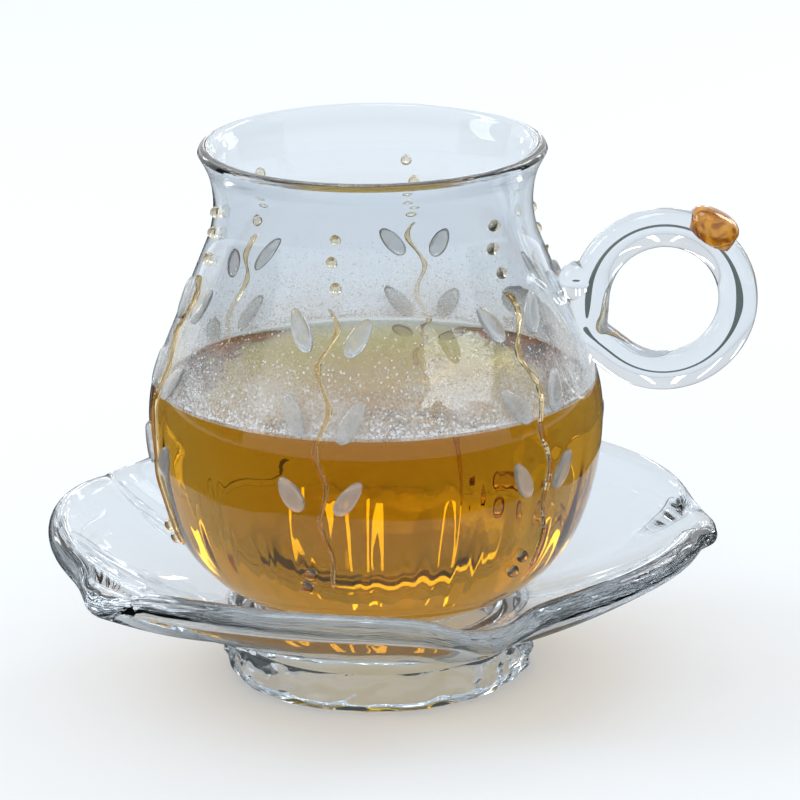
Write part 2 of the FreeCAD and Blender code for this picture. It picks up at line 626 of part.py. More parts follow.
def make_saucer():
    """The saucer: a turned seat and foot, five petals and five corner drops, all of one glass."""
    foot = doc.addObject("PartDesign::Body", "saucer_foot")
    revolve(foot, foot_sketch(foot), "foot_turned")
    saucer = doc.addObject("Part::MultiFuse", "saucer")
    saucer.Shapes = [foot] + make_petals() + make_corner_drops()
    return saucer


# ---------------------------------------------------------------- the model

def check(document):
    """Stop if any object failed, or its shape is empty or not valid."""
    for item in document.Objects:
        if "Invalid" in item.State or "Error" in item.State:
            raise RuntimeError("%s failed: %s" % (item.Label, item.State))
        if item.isDerivedFrom("Part::Feature") and (item.Shape.isNull() or not item.Shape.isValid()):
            raise RuntimeError("%s has no valid shape" % item.Label)


def main():
    """Build every piece, check the document and write one STEP file for each piece."""
    cup, blank, hollow = make_cup()
    pieces = [cup, make_tea(hollow), make_thumb_drop(cup), make_saucer()]
    doc.recompute()
    for number in range(VINES):
        pieces += make_vine(number, blank.Shape)
    doc.recompute()
    check(doc)
    os.makedirs("parts", exist_ok=True)
    for piece in pieces:
        piece.Shape.exportStep(os.path.join("parts", piece.Label + ".step"))
        print("%-16s %2d solids %10.1f mm3" % (piece.Label, len(piece.Shape.Solids), piece.Shape.Volume))


main()
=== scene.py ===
"""Looks of a blown glass tea cup, its tea and its petalled saucer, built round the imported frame.

Shapes are worked out in millimetres and turned to metres where a mesh is made. Z points up, the
handle reaches towards +X and the front is -Y. Azimuths run from the front towards +X.
"""

import logging
import math
import random
from dataclasses import dataclass
from enum import Enum
from typing import Callable, Iterable, Optional, Sequence

import bpy
from mathutils import Matrix, Vector, noise

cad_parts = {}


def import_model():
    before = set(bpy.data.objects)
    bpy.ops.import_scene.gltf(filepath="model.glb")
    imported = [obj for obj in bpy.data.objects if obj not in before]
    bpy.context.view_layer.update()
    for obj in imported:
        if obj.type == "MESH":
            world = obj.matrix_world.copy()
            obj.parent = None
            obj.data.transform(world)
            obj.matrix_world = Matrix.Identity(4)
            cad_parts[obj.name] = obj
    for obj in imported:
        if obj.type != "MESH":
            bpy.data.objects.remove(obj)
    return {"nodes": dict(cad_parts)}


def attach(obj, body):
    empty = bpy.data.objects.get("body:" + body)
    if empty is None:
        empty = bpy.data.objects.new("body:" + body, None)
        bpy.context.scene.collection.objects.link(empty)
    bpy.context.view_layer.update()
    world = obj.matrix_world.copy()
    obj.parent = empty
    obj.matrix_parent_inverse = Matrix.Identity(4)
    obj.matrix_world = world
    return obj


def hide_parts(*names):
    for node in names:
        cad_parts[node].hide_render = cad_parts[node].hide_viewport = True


MM = 0.001
BODY = "root"
SHADOW_CLARITY = 0.975  # share of shadow and diffuse light that passes a clear surface unbent
MELTED_CREASE_DEG = 50.0
log = logging.getLogger("glass_cup")

Profile = list[tuple[float, float]]
Skin = tuple[list[Vector], list[tuple[int, ...]]]


# ------------------------------------------------------------------ colour and nodes

def linear(code: str) -> tuple[float, float, float, float]:
    """Turn an sRGB hex colour into linear RGBA.

    Args:
        code: the colour as "#rrggbb".

    Returns:
        Red, green, blue and an alpha of 1, in linear light.
    """
    def channel(text: str) -> float:
        """One channel's linear value."""
        value = int(text, 16) / 255.0
        return value / 12.92 if value <= 0.04045 else ((value + 0.055) / 1.055) ** 2.4

    return channel(code[1:3]), channel(code[3:5]), channel(code[5:7]), 1.0


def add_node(tree: bpy.types.NodeTree, kind: str, settings: Optional[dict] = None,
             links: Optional[dict] = None) -> bpy.types.Node:
    """Add one node with its settings and its incoming links.

    Args:
        tree: the node tree that gets the node.
        kind: the node's type name.
        settings: properties by name, and unlinked inputs by name or number.
        links: for each input's name or number, the socket that feeds it.

    Returns:
        The new node.
    """
    node = tree.nodes.new(kind)
    for key, value in (settings or {}).items():
        if isinstance(key, str) and hasattr(node, key):
            setattr(node, key, value)
        else:
            node.inputs[key].default_value = value
    for key, socket in (links or {}).items():
        tree.links.new(socket, node.inputs[key])
    return node


def new_material(name: str) -> tuple[bpy.types.Material, bpy.types.NodeTree]:
    """Make an empty node material.

    Args:
        name: the material's name.

    Returns:
        The material and its node tree.
    """
    material = bpy.data.materials.new(name)
    material.use_nodes = True
    material.node_tree.nodes.clear()
    return material, material.node_tree


# ------------------------------------------------------------------ finishes

@dataclass(frozen=True)
class ClearFinish:
    """A clear material that bends light: glass, tea or water.

    The surface is smooth, so its gloss comes from the shader. A fine swell in the bump stands for
    the slight waves of hand-worked glass or of a resting liquid. Faces marked "wet" lie against
    another clear body, where wetted_tint dims a shine that the real pair doesn't have. Faces
    marked "dew" are veiled by the finest dew.
    """

    name: str
    tint: str
    ior: float
    roughness: float
    swell_mm: float
    swell_height_mm: float
    shadow_tint: str
    depth_colour: Optional[str] = None
    depth_density: float = 0.0
    milk: float = 0.0
    wetted_tint: Optional[str] = None
    fog_mm: Optional[tuple[float, float]] = None
    fog_share: float = 0.0
    fog_tint: str = "#eef0f2"
    fog_grain_mm: float = 0.5
    fog_drift_mm: float = 9.0
    fog_span: tuple[float, float] = (0.12, 0.36)
    fog_thinnest: float = 0.25

    def surface(self, tree: bpy.types.NodeTree, bump: bpy.types.Node,
                sheen: str = "#ffffff") -> bpy.types.Node:
        """The clear surface itself.

        Args:
            tree: the material's node tree.
            bump: the node that gives its waves.
            sheen: the tint of its shine.

        Returns:
            The surface's shader.
        """
        return add_node(tree, "ShaderNodeBsdfPrincipled", {
            "Base Color": linear(self.tint),
            "Roughness": self.roughness,
            "IOR": self.ior,
            "Transmission Weight": 1.0 - self.milk,
            "Specular Tint": linear(sheen),
        }, {"Normal": bump.outputs["Normal"]})

    def fogged(self, tree: bpy.types.NodeTree, place: bpy.types.Node,
               glass: bpy.types.Node) -> bpy.types.Node:
        """Veil the glass with the finest dew, thick at the lower level and gone at the upper.

        Args:
            tree: the material's node tree.
            place: the texture coordinates.
            glass: the shader under the dew.

        Returns:
            The veiled shader.
        """
        low, high = self.fog_mm
        thin, thick = self.fog_span
        height = add_node(tree, "ShaderNodeSeparateXYZ", None, {0: place.outputs["Object"]})
        fade = add_node(tree, "ShaderNodeMapRange", {
            "interpolation_type": "SMOOTHSTEP", "From Min": low * MM, "From Max": high * MM,
            "To Min": 1.0, "To Max": 0.0}, {"Value": height.outputs["Z"]})
        grain, drift = (
            add_node(tree, "ShaderNodeTexNoise", {"Scale": 1.0 / (size * MM), "Detail": 2.0},
                     {"Vector": place.outputs["Object"]})
            for size in (self.fog_grain_mm, self.fog_drift_mm))
        mixed = add_node(tree, "ShaderNodeMath", {"operation": "MULTIPLY"},
                         {0: grain.outputs["Fac"], 1: drift.outputs["Fac"]})
        spread = add_node(tree, "ShaderNodeMapRange", {
            "From Min": thin, "From Max": thick, "To Min": self.fog_thinnest, "To Max": 1.0},
            {"Value": mixed.outputs[0]})
        veil = add_node(tree, "ShaderNodeMath", {"operation": "MULTIPLY"},
                        {0: fade.outputs[0], 1: spread.outputs[0]})
        dew = add_node(tree, "ShaderNodeAttribute", {"attribute_name": "dew"})
        dewed = add_node(tree, "ShaderNodeMath", {"operation": "MULTIPLY"},
                         {0: veil.outputs[0], 1: dew.outputs["Fac"]})
        share = add_node(tree, "ShaderNodeMath", {"operation": "MULTIPLY", 1: self.fog_share},
                         {0: dewed.outputs[0]})
        near = add_node(tree, "ShaderNodeBsdfDiffuse", {"Color": linear(self.fog_tint)})
        far = add_node(tree, "ShaderNodeBsdfTranslucent", {"Color": linear(self.fog_tint)})
        milk = add_node(tree, "ShaderNodeMixShader", {0: 0.5}, {1: near.outputs[0], 2: far.outputs[0]})
        return add_node(tree, "ShaderNodeMixShader", None,
                        {0: share.outputs[0], 1: glass.outputs[0], 2: milk.outputs[0]})

    def make(self) -> bpy.types.Material:
        """Build the material.

        Returns:
            The material.
        """
        material, tree = new_material(self.name)
        place = add_node(tree, "ShaderNodeTexCoord")
        waves = add_node(tree, "ShaderNodeTexNoise",
                         {"Scale": 1.0 / (self.swell_mm * MM), "Detail": 1.5},
                         {"Vector": place.outputs["Object"]})
        bump = add_node(tree, "ShaderNodeBump",
                        {"Strength": 1.0, "Distance": self.swell_height_mm * MM},
                        {"Height": waves.outputs["Fac"]})
        glass = self.surface(tree, bump)
        if self.wetted_tint:
            wet = add_node(tree, "ShaderNodeAttribute", {"attribute_name": "wet"})
            dull = self.surface(tree, bump, self.wetted_tint)
            glass = add_node(tree, "ShaderNodeMixShader", None,
                             {0: wet.outputs["Fac"], 1: glass.outputs[0], 2: dull.outputs[0]})
        if self.fog_mm:
            glass = self.fogged(tree, place, glass)
        clear = add_node(tree, "ShaderNodeBsdfTransparent", {"Color": linear(self.shadow_tint)})
        rays = add_node(tree, "ShaderNodeLightPath")
        soft = add_node(tree, "ShaderNodeMath", {"operation": "MAXIMUM"},
                        {0: rays.outputs["Is Shadow Ray"], 1: rays.outputs["Is Diffuse Ray"]})
        share = add_node(tree, "ShaderNodeMath", {"operation": "MULTIPLY", 1: SHADOW_CLARITY},
                         {0: soft.outputs[0]})
        mixed = add_node(tree, "ShaderNodeMixShader", None,
                         {0: share.outputs[0], 1: glass.outputs[0], 2: clear.outputs[0]})
        out = add_node(tree, "ShaderNodeOutputMaterial", None, {"Surface": mixed.outputs[0]})
        if self.depth_colour:
            depth = add_node(tree, "ShaderNodeVolumeAbsorption",
                             {"Color": linear(self.depth_colour), "Density": self.depth_density})
            tree.links.new(depth.outputs[0], out.inputs["Volume"])
        return material


# Borosilicate glass, blown and fire polished: clear, greyer with depth, with slow waves in the
# wall. Tea against its inner face takes away the shine, and the finest dew dulls it just above.
BLOWN_GLASS = ClearFinish("blown_borosilicate_glass", "#e9eef2", 1.47, 0.0, 14.0, 0.05, "#fdfdfe",
                          depth_colour="#b4bcc2", depth_density=22.0, wetted_tint="#1c1c1c",
                          fog_mm=(60.0, 77.0), fog_share=0.9)
# The same glass, pressed and drawn while soft into petals and foot: rounder, stronger waves.
WORKED_GLASS = ClearFinish("flame_worked_borosilicate_glass", "#e3e9ee", 1.47, 0.0, 9.0, 0.12,
                           "#fdfdfe", depth_colour="#b4bcc2", depth_density=9.0)
# Threads of faintly honey-coloured soda glass, melted on: a warm line with a wet shine.
HONEY_GLASS = ClearFinish("honey_soda_glass_thread", "#efd9ab", 1.50, 0.0, 2.5, 0.02, "#fdf8ee")
# The same glass in small beads, which look paler than the thread.
HONEY_BEAD = ClearFinish("honey_soda_glass_bead", "#f7ecd4", 1.50, 0.0, 2.5, 0.02, "#fdf8ee")
# Brewed tea: a clear golden brown liquid that deepens with its thickness; it shines on top, and
# where it lies against the wall it has hardly any shine of its own.
BREWED_TEA = ClearFinish("brewed_golden_tea", "#ffffff", 1.333, 0.0, 20.0, 0.02, "#ffffff",
                         depth_colour="#f8e416", depth_density=80.0, wetted_tint="#101010")
# Condensed water in drops too fine to look clear: half milky, half clear.
WATER = ClearFinish("condensed_water", "#ffffff", 1.333, 0.2, 5.0, 0.0, "#fdfdfe", milk=0.45)


@dataclass(frozen=True)
class CloudedGlass:
    """Coloured glass with a soft clouding of two colours inside, under a bright skin."""

    name: str
    thin: str
    thick: str
    cloud_mm: float
    detail: float
    distortion: float
    span: tuple[float, float]
    roughness: float
    ior: float
    clear: float
    coat: float
    coat_roughness: float
    bump_mm: float = 0.0

    def make(self) -> bpy.types.Material:
        """Build the material.

        Returns:
            The material.
        """
        material, tree = new_material(self.name)
        place = add_node(tree, "ShaderNodeTexCoord")
        cloud = add_node(tree, "ShaderNodeTexNoise", {
            "Scale": 1.0 / (self.cloud_mm * MM), "Detail": self.detail,
            "Distortion": self.distortion}, {"Vector": place.outputs["Object"]})
        ramp = add_node(tree, "ShaderNodeValToRGB", None, {"Fac": cloud.outputs["Fac"]})
        for element, position, colour in zip(ramp.color_ramp.elements, self.span, (self.thin, self.thick)):
            element.position = position
            element.color = linear(colour)
        links = {"Base Color": ramp.outputs["Color"]}
        if self.bump_mm:
            bump = add_node(tree, "ShaderNodeBump", {"Strength": 0.6, "Distance": self.bump_mm * MM},
                            {"Height": cloud.outputs["Fac"]})
            links["Normal"] = bump.outputs["Normal"]
        glass = add_node(tree, "ShaderNodeBsdfPrincipled", {
            "Roughness": self.roughness,
            "IOR": self.ior,
            "Transmission Weight": self.clear,
            "Coat Weight": self.coat,
            "Coat Roughness": self.coat_roughness,
        }, links)
        add_node(tree, "ShaderNodeOutputMaterial", None, {"Surface": glass.outputs[0]})
        return material


# Pale opal glass, pressed flat with a tool: a soft milky body under a bright skin.
OPAL_GLASS = CloudedGlass("pressed_opal_glass", "#eef2f4", "#ffffff", 1.8, 3.0, 0.0, (0.35, 0.65),
                          0.12, 1.5, 0.8, 0.5, 0.02, bump_mm=0.05)
# Amber soda glass, melted over the rod: orange brown with darker swirls inside.
AMBER_GLASS = CloudedGlass("amber_soda_glass", "#a85a0c", "#ffb42e", 4.4, 2.0, 1.6, (0.40, 0.62),
                           0.03, 1.52, 0.45, 0.4, 0.03)


# ------------------------------------------------------------------ meshes

def mesh_object(name: str, points: Sequence[Vector], faces: Sequence[Sequence[int]],
                material: bpy.types.Material, crease_deg: float = 60.0) -> bpy.types.Object:
    """Make a smooth-shaded mesh object and put it in the scene.

    Args:
        name: the piece's name.
        points: its vertices, in millimetres.
        faces: its faces, as vertex numbers.
        material: its finish.
        crease_deg: edges sharper than this stay sharp.

    Returns:
        The new object.
    """
    mesh = bpy.data.meshes.new(name)
    mesh.from_pydata([tuple(point * MM) for point in points], [], [tuple(face) for face in faces])
    mesh.validate()
    mesh.shade_smooth()
    mesh.set_sharp_from_angle(angle=math.radians(crease_deg))
    mesh.materials.append(material)
    piece = bpy.data.objects.new(name, mesh)
    bpy.context.scene.collection.objects.link(piece)
    return piece


def around(turn: float) -> Vector:
    """Unit vector away from the axis at an azimuth in radians."""
    return Vector((math.sin(turn), -math.cos(turn), 0.0))


def raised(level: float) -> Vector:
    """A point on the axis."""
    return Vector((0.0, 0.0, level))


def turned_grid(columns: int, rows: int, place: Callable[[float, int], Vector]) -> Skin:
    """A closed skin turned about the axis, one column for each azimuth.

    Args:
        columns: number of azimuths.
        rows: number of points in a column.
        place: gives the point for an azimuth and a row.

    Returns:
        The points and the faces, outward where rows run up the outside.
    """
    points, faces = [], []
    for column in range(columns):
        turn = 2 * math.pi * column / columns
        points += [place(turn, row) for row in range(rows)]
    for column in range(columns):
        after = (column + 1) % columns
        for row in range(rows - 1):
            here, there = column * rows + row, after * rows + row
            faces.append((here, there, there + 1, here + 1))
    for row, flip in ((0, True), (rows - 1, False)):
        centre = sum((points[column * rows + row] for column in range(columns)), Vector()) / columns
        points.append(raised(centre.z))
        middle = len(points) - 1
        for column in range(columns):
            here, there = column * rows + row, ((column + 1) % columns) * rows + row
            faces.append((there, here, middle) if flip else (here, there, middle))
    return points, faces


def tube(path: Sequence[Vector], up: Vector, radius: float, sides: int) -> Skin:
    """A round skin along a closed path.

    Args:
        path: the centre line.
        up: a direction square to the path everywhere.
        radius: the radius of the section.
        sides: corners of the round section.

    Returns:
        The points and faces of the tube.
    """
    points, faces = [], []
    count = len(path)
    for index, centre in enumerate(path):
        along = (path[(index + 1) % count] - path[index - 1]).normalized()
        side = along.cross(up).normalized()
        lift = side.cross(along)
        for corner in range(sides):
            turn = 2 * math.pi * corner / sides
            points.append(centre + (side * math.cos(turn) + lift * math.sin(turn)) * radius)
    for index in range(count):
        after = (index + 1) % count
        for corner in range(sides):
            beside = (corner + 1) % sides
            faces.append((index * sides + corner, index * sides + beside,
                          after * sides + beside, after * sides + corner))
    return points, faces


def ball(centre: Vector, radius: float, rings: int, sides: int) -> Skin:
    """A round ball.

    Args:
        centre: its centre.
        radius: its radius.
        rings: rings of points between its poles.
        sides: points in a ring.

    Returns:
        The points and faces.
    """
    points, faces = [], []
    for ring in range(1, rings + 1):
        lift = math.pi * ring / (rings + 1)
        for side in range(sides):
            turn = 2 * math.pi * side / sides
            points.append(centre + Vector((math.sin(lift) * math.cos(turn) * radius,
                                           math.sin(lift) * math.sin(turn) * radius,
                                           math.cos(lift) * radius)))
    for ring in range(rings - 1):
        for side in range(sides):
            beside = (side + 1) % sides
            faces.append((ring * sides + side, (ring + 1) * sides + side,
                          (ring + 1) * sides + beside, ring * sides + beside))
    for end, ring, flip in ((1.0, 0, False), (-1.0, rings - 1, True)):
        points.append(centre + raised(end * radius))
        pole = len(points) - 1
        for side in range(sides):
            here, there = ring * sides + side, ring * sides + (side + 1) % sides
            faces.append((there, here, pole) if flip else (here, there, pole))
    return points, faces


def joined(parts: Iterable[Skin]) -> Skin:
    """Put several skins into one list of points and one of faces.

    Args:
        parts: the skins.

    Returns:
        All their points and all their faces.
    """
    points: list[Vector] = []
    faces: list[tuple[int, ...]] = []
    for part_points, part_faces in parts:
        first = len(points)
        points += part_points
        faces += [tuple(first + index for index in face) for face in part_faces]
    return points, faces


def fuse(piece: bpy.types.Object, others: Sequence[bpy.types.Object]) -> None:
    """Melt other closed skins into a piece and drop them.

    Args:
        piece: the piece that grows.
        others: the skins that melt into it.
    """
    for other in others:
        change = piece.modifiers.new("fuse", "BOOLEAN")
        change.operation = "UNION"
        change.solver = "EXACT"
        change.object = other
        evaluated = piece.evaluated_get(bpy.context.evaluated_depsgraph_get())
        mesh = bpy.data.meshes.new_from_object(evaluated)
        piece.modifiers.clear()
        piece.data = mesh
        bpy.data.objects.remove(other)
    piece.data.shade_smooth()
    piece.data.set_sharp_from_angle(angle=math.radians(MELTED_CREASE_DEG))


def mark_faces(piece: bpy.types.Object, name: str, chosen: Callable[[Vector], bool]) -> None:
    """Give a piece a face attribute for its finish: 1 where chosen, and 0 elsewhere.

    Args:
        piece: the piece.
        name: the attribute's name.
        chosen: tells from a face's middle, in millimetres, whether it is marked.
    """
    layer = piece.data.attributes.new(name, "FLOAT", "FACE")
    for face in piece.data.polygons:
        layer.data[face.index].value = 1.0 if chosen(face.center / MM) else 0.0


def keep(piece: bpy.types.Object, slot: str, *nodes: str) -> bpy.types.Object:
    """Ride a piece on the body, hide the CAD nodes it stands for, and report it.

    Args:
        piece: the finished piece.
        slot: the record's material slot; not used.
        nodes: the CAD nodes that the piece replaces.

    Returns:
        The same piece.
    """
    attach(piece, BODY)
    if nodes:
        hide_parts(*nodes)
    log.info("%s: %d faces", piece.name, len(piece.data.polygons))
    return piece


# ------------------------------------------------------------------ the cup's outline

@dataclass
class CupOutline:
    """The blown wall's outline: four tangent arcs and a short straight shoulder, in millimetres."""

    base: float = 14.5
    height: float = 89.6
    wall: float = 1.8
    base_glass: float = 2.6
    belly_radius: float = 44.05
    belly_height: float = 37.5
    belly_round: float = 58.0
    heel_round: float = 27.0
    shoulder_round: float = 28.0
    neck_radius: float = 30.65
    neck_height: float = 79.7
    neck_round: float = 21.5

    def __post_init__(self) -> None:
        """Work out the arcs' centres and where they meet."""
        girth = self.base + self.belly_height
        self.belly = Vector((self.belly_radius - self.belly_round, girth))
        self.shoulder = Vector((self.belly_radius - self.shoulder_round, girth))
        self.neck = Vector((self.neck_radius + self.neck_round, self.base + self.neck_height))
        drop = girth - self.base - self.heel_round
        across = math.sqrt((self.belly_round - self.heel_round) ** 2 - drop ** 2)
        self.heel = Vector((self.belly.x + across, self.base + self.heel_round))
        self.heel_end = math.atan2(self.heel.y - self.belly.y, self.heel.x - self.belly.x)
        span = self.neck - self.shoulder
        reach = (self.shoulder_round + self.neck_round) / span.length
        self.slope = math.atan2(span.y, span.x) - math.acos(reach)
        self.mouth = self.base + self.height

    def at(self, level: float, inset: float = 0.0) -> tuple[float, Vector]:
        """The wall at a level.

        Args:
            level: height above the floor.
            inset: how far the skin lies inside the outer face.

        Returns:
            The skin's radius, and its outward normal as (radial, upward).
        """
        facing = Vector((math.cos(self.slope), math.sin(self.slope)))
        lower = self.shoulder + facing * (self.shoulder_round - inset)
        upper = self.neck - facing * (self.neck_round + inset)
        if level >= upper.y:
            rise = level - self.neck.y
            run = math.sqrt((self.neck_round + inset) ** 2 - rise ** 2)
            return self.neck.x - run, Vector((run, -rise)).normalized()
        if level >= lower.y:
            part = (level - lower.y) / (upper.y - lower.y)
            return lower.x + part * (upper.x - lower.x), facing
        centre, radius = self.shoulder, self.shoulder_round
        if level < self.belly.y:
            centre, radius = self.belly, self.belly_round
        if level < self.heel.y + (self.heel_round - inset) * math.sin(self.heel_end):
            centre, radius = self.heel, self.heel_round
        rise = level - centre.y
        run = math.sqrt(max(0.0, (radius - inset) ** 2 - rise ** 2))
        return centre.x + run, Vector((run, rise)).normalized()

    def skin(self, inset: float, floor: float, step: float = 0.9) -> Profile:
        """Points of one skin from the axis to the mouth.

        Args:
            inset: how far the skin lies inside the outer face.
            floor: height of the skin's flat bottom above the cup's base.
            step: spacing of the points.

        Returns:
            The points as (radius, height).
        """
        heel_round = self.heel_round - inset
        start = -math.pi / 2
        if floor > inset:
            start = math.asin((self.base + floor - self.heel.y) / heel_round)
        edge = self.heel + Vector((math.cos(start), math.sin(start))) * heel_round
        count = max(2, round(edge.x / (3 * step)))
        points = [(edge.x * (index + 0.5) / count, edge.y) for index in range(count)]
        mouth = math.pi - math.asin((self.mouth - self.neck.y) / (self.neck_round + inset))
        runs = (
            (self.heel, heel_round, start, self.heel_end),
            (self.belly, self.belly_round - inset, self.heel_end, 0.0),
            (self.shoulder, self.shoulder_round - inset, 0.0, self.slope),
            (self.neck, self.neck_round + inset, math.pi + self.slope, mouth),
        )
        for centre, radius, first, last in runs:
            pieces = max(2, round(abs(last - first) * radius / step))
            for index in range(pieces):
                turn = first + (last - first) * index / pieces
                points.append((centre.x + radius * math.cos(turn), centre.y + radius * math.sin(turn)))
        points.append((self.neck.x + (self.neck_round + inset) * math.cos(mouth), self.mouth))
        return points

    def on_wall(self, azimuth: float, level: float, aside: float = 0.0, lift: float = 0.0,
                inset: float = 0.0) -> Vector:
        """A point on the wall.

        Args:
            azimuth: in degrees.
            level: height above the floor.
            aside: distance round the wall.
            lift: distance out of the wall, square to it.
            inset: how far the skin lies inside the outer face.

        Returns:
            The point.
        """
        radius, normal = self.at(level, inset)
        out = around(math.radians(azimuth) + aside / radius)
        return out * (radius + lift * normal.x) + raised(level + lift * normal.y)


# ------------------------------------------------------------------ the cup

def in_handle(turn: float) -> Vector:
    """Unit vector in the handle's plane, at an angle in radians from +X towards +Z."""
    return Vector((math.cos(turn), 0.0, math.sin(turn)))


@dataclass(frozen=True)
class Ring:
    """The handle's ring: its middle, the radius of its centre line and the rod's own radius."""

    reach: float = 55.85
    height: float = 73.5
    mean: float = 14.3
    rod: float = 3.8

    @property
    def centre(self) -> Vector:
        """The middle of the finger hole."""
        return Vector((self.reach, 0.0, self.height))


@dataclass
class Cup:
    """The blown cup with its looped rod handle, its gather and its fire-polished lip."""

    outline: CupOutline
    ring: Ring
    columns: int = 288
    lip_bead: float = 1.3
    lip_fade: float = 2.6
    tea_level: float = 58.3
    dew_top: float = 76.0
    optic_rise: float = 0.06
    slow_waves: tuple[float, float] = (2.3, 0.02)
    quick_waves: tuple[float, float] = (9.0, 0.01)
    quick_share: float = 7.0
    quick_level: float = 36.0
    quick_reach: float = 26.0
    tip_round: float = 4.5
    tip_distance: float = 11.1
    tip_drop_deg: float = 23.5
    ring_points: int = 92
    bend_points: int = 28
    link_points: int = 4
    gather: tuple[float, float, float] = (39.4, 0.0, 77.3)
    gather_radius: float = 4.0

    def profile(self) -> Profile:
        """The wall's closed half section.

        Returns:
            The points, from the axis under the base to the axis on the inner floor.
        """
        outer = self.outline.skin(0.0, 0.0)
        inner = self.outline.skin(self.outline.wall, self.outline.base_glass)
        middle = Vector(((outer[-1][0] + inner[-1][0]) / 2, self.outline.mouth))
        for skin, side in ((outer, 1.0), (inner, -1.0)):
            for index, (radius, level) in enumerate(skin):
                near = math.exp(-((self.outline.mouth - level) / self.lip_fade) ** 2)
                grown = side * near * (self.lip_bead - self.outline.wall / 2)
                skin[index] = (radius + grown, level)
        turns = 14
        bead = [(middle.x + self.lip_bead * math.cos(math.pi * index / turns),
                 middle.y + self.lip_bead * math.sin(math.pi * index / turns))
                for index in range(1, turns)]
        return outer + bead + inner[::-1]

    def belt(self) -> list[Vector]:
        """The handle's closed centre line: a ring drawn to a rounded point at the wall.

        Returns:
            The points, evenly spaced by angle on the ring and the bend.
        """
        def arc(middle: Vector, radius: float, start: float, span: float, count: int) -> list[Vector]:
            """Points of one arc, with both its ends."""
            return [middle + in_handle(start + span * index / (count - 1)) * radius
                    for index in range(count)]

        def link(start: Vector, end: Vector) -> list[Vector]:
            """Points between two arcs' ends, without the ends."""
            return [start.lerp(end, (index + 1) / (self.link_points + 1))
                    for index in range(self.link_points)]

        drop = math.radians(self.tip_drop_deg)
        centre = self.ring.centre
        tip = centre - in_handle(drop) * self.tip_distance
        half = math.acos((self.ring.mean - self.tip_round) / self.tip_distance)
        toward = math.pi + drop
        loop = arc(centre, self.ring.mean, toward + half, 2 * math.pi - 2 * half, self.ring_points)
        bend = arc(tip, self.tip_round, toward - half, 2 * half, self.bend_points)
        return loop + link(loop[-1], bend[0]) + bend + link(bend[-1], loop[0])

    def clear_of_hollow(self, point: Vector) -> Vector:
        """Pull a point of the handle out to the middle of the wall where it would reach the hollow.

        Args:
            point: the point.

        Returns:
            The point, or the one beside it in the wall.
        """
        radius = math.hypot(point.x, point.y)
        least = self.outline.at(point.z, self.outline.wall * 0.5)[0]
        if radius >= least:
            return point
        return Vector((point.x * least / radius, point.y * least / radius, point.z))

    def ripple(self, turn: float, level: float) -> float:
        """How far the waves of the blown inner face carry it outward; the quick ones fill the belly.

        Args:
            turn: the azimuth in radians.
            level: height above the floor.

        Returns:
            The distance outward.
        """
        slow, quick = (
            noise.noise(Vector((math.cos(turn) * across, math.sin(turn) * across, level * up)))
            for across, up in (self.slow_waves, self.quick_waves))
        full = max(0.0, 1 - abs(level - self.quick_level) / self.quick_reach)
        return self.optic_rise * (slow + self.quick_share * full * quick)

    def make(self) -> bpy.types.Object:
        """Build the cup's mesh, with the handle melted into the wall.

        Returns:
            The cup's piece.
        """
        glass = BLOWN_GLASS.make()
        profile = self.profile()
        rows = len(profile)

        def place(turn: float, row: int) -> Vector:
            """A point of the wall; only the inner face has waves."""
            radius, level = profile[row]
            wave = self.ripple(turn, level) if row > rows // 2 else 0.0
            return around(turn) * (radius + wave) + raised(level)

        wall = mesh_object("cup_glass", *turned_grid(self.columns, rows, place), glass)
        points, faces = tube(self.belt(), Vector((0.0, 1.0, 0.0)), self.ring.rod, 36)
        loop = mesh_object("loop", [self.clear_of_hollow(point) for point in points], faces, glass)
        points, faces = ball(Vector(self.gather), self.gather_radius, 23, 36)
        knot = mesh_object("knot", [self.clear_of_hollow(point) for point in points], faces, glass)
        fuse(wall, (knot, loop))

        def inner(middle: Vector) -> bool:
            """Whether a face's middle lies on the wall's inner face."""
            if not self.outline.base + 0.5 < middle.z < self.dew_top:
                return False
            reach = math.hypot(middle.x, middle.y)
            return reach < self.outline.at(middle.z, self.outline.wall * 0.6)[0]

        mark_faces(wall, "wet", lambda middle: middle.z < self.tea_level and inner(middle))
        mark_faces(wall, "dew", lambda middle: middle.z >= self.tea_level and inner(middle))
        return keep(wall, "clear_glass", "cup")


@dataclass
class Tea:
    """The tea: it reaches just into the wall, so that no air shows between tea and glass."""

    outline: CupOutline
    level: float = 58.05
    into_wall: float = 0.5
    meniscus: float = 0.9
    meniscus_fall: float = 0.8
    edge_width: float = 4.5
    edge_points: int = 14
    middle_points: int = 18
    columns: int = 256

    def make(self) -> bpy.types.Object:
        """Build the tea up to its level, with the rise of its edge at the wall.

        Returns:
            The tea's piece.
        """
        inset = self.outline.wall - self.into_wall
        skin = self.outline.skin(inset, self.outline.base_glass - self.into_wall)
        side = [point for point in skin if point[1] < self.level - 0.5]
        edge = self.outline.at(self.level + self.meniscus, inset)[0]
        side.append((self.outline.at(self.level, inset)[0], self.level))
        side.append((edge, self.level + self.meniscus))
        dry = edge - self.into_wall
        top = []
        for index in range(self.edge_points):
            inward = self.edge_width * (index / (self.edge_points - 1)) ** 1.6
            rise = self.meniscus * math.exp(-inward / self.meniscus_fall)
            top.append((dry - inward, self.level + rise))
        top += [(top[-1][0] * (1 - (index + 1) / (self.middle_points + 1)), self.level)
                for index in range(self.middle_points)]
        profile = side + top

        def place(turn: float, row: int) -> Vector:
            """A point of the tea's skin."""
            return around(turn) * profile[row][0] + raised(profile[row][1])

        grid = turned_grid(self.columns, len(profile), place)
        piece = mesh_object("tea_in_cup", *grid, BREWED_TEA.make(), 35.0)
        mark_faces(piece, "wet", lambda middle: middle.z < self.level - 0.01)
        return keep(piece, "tea", "tea")


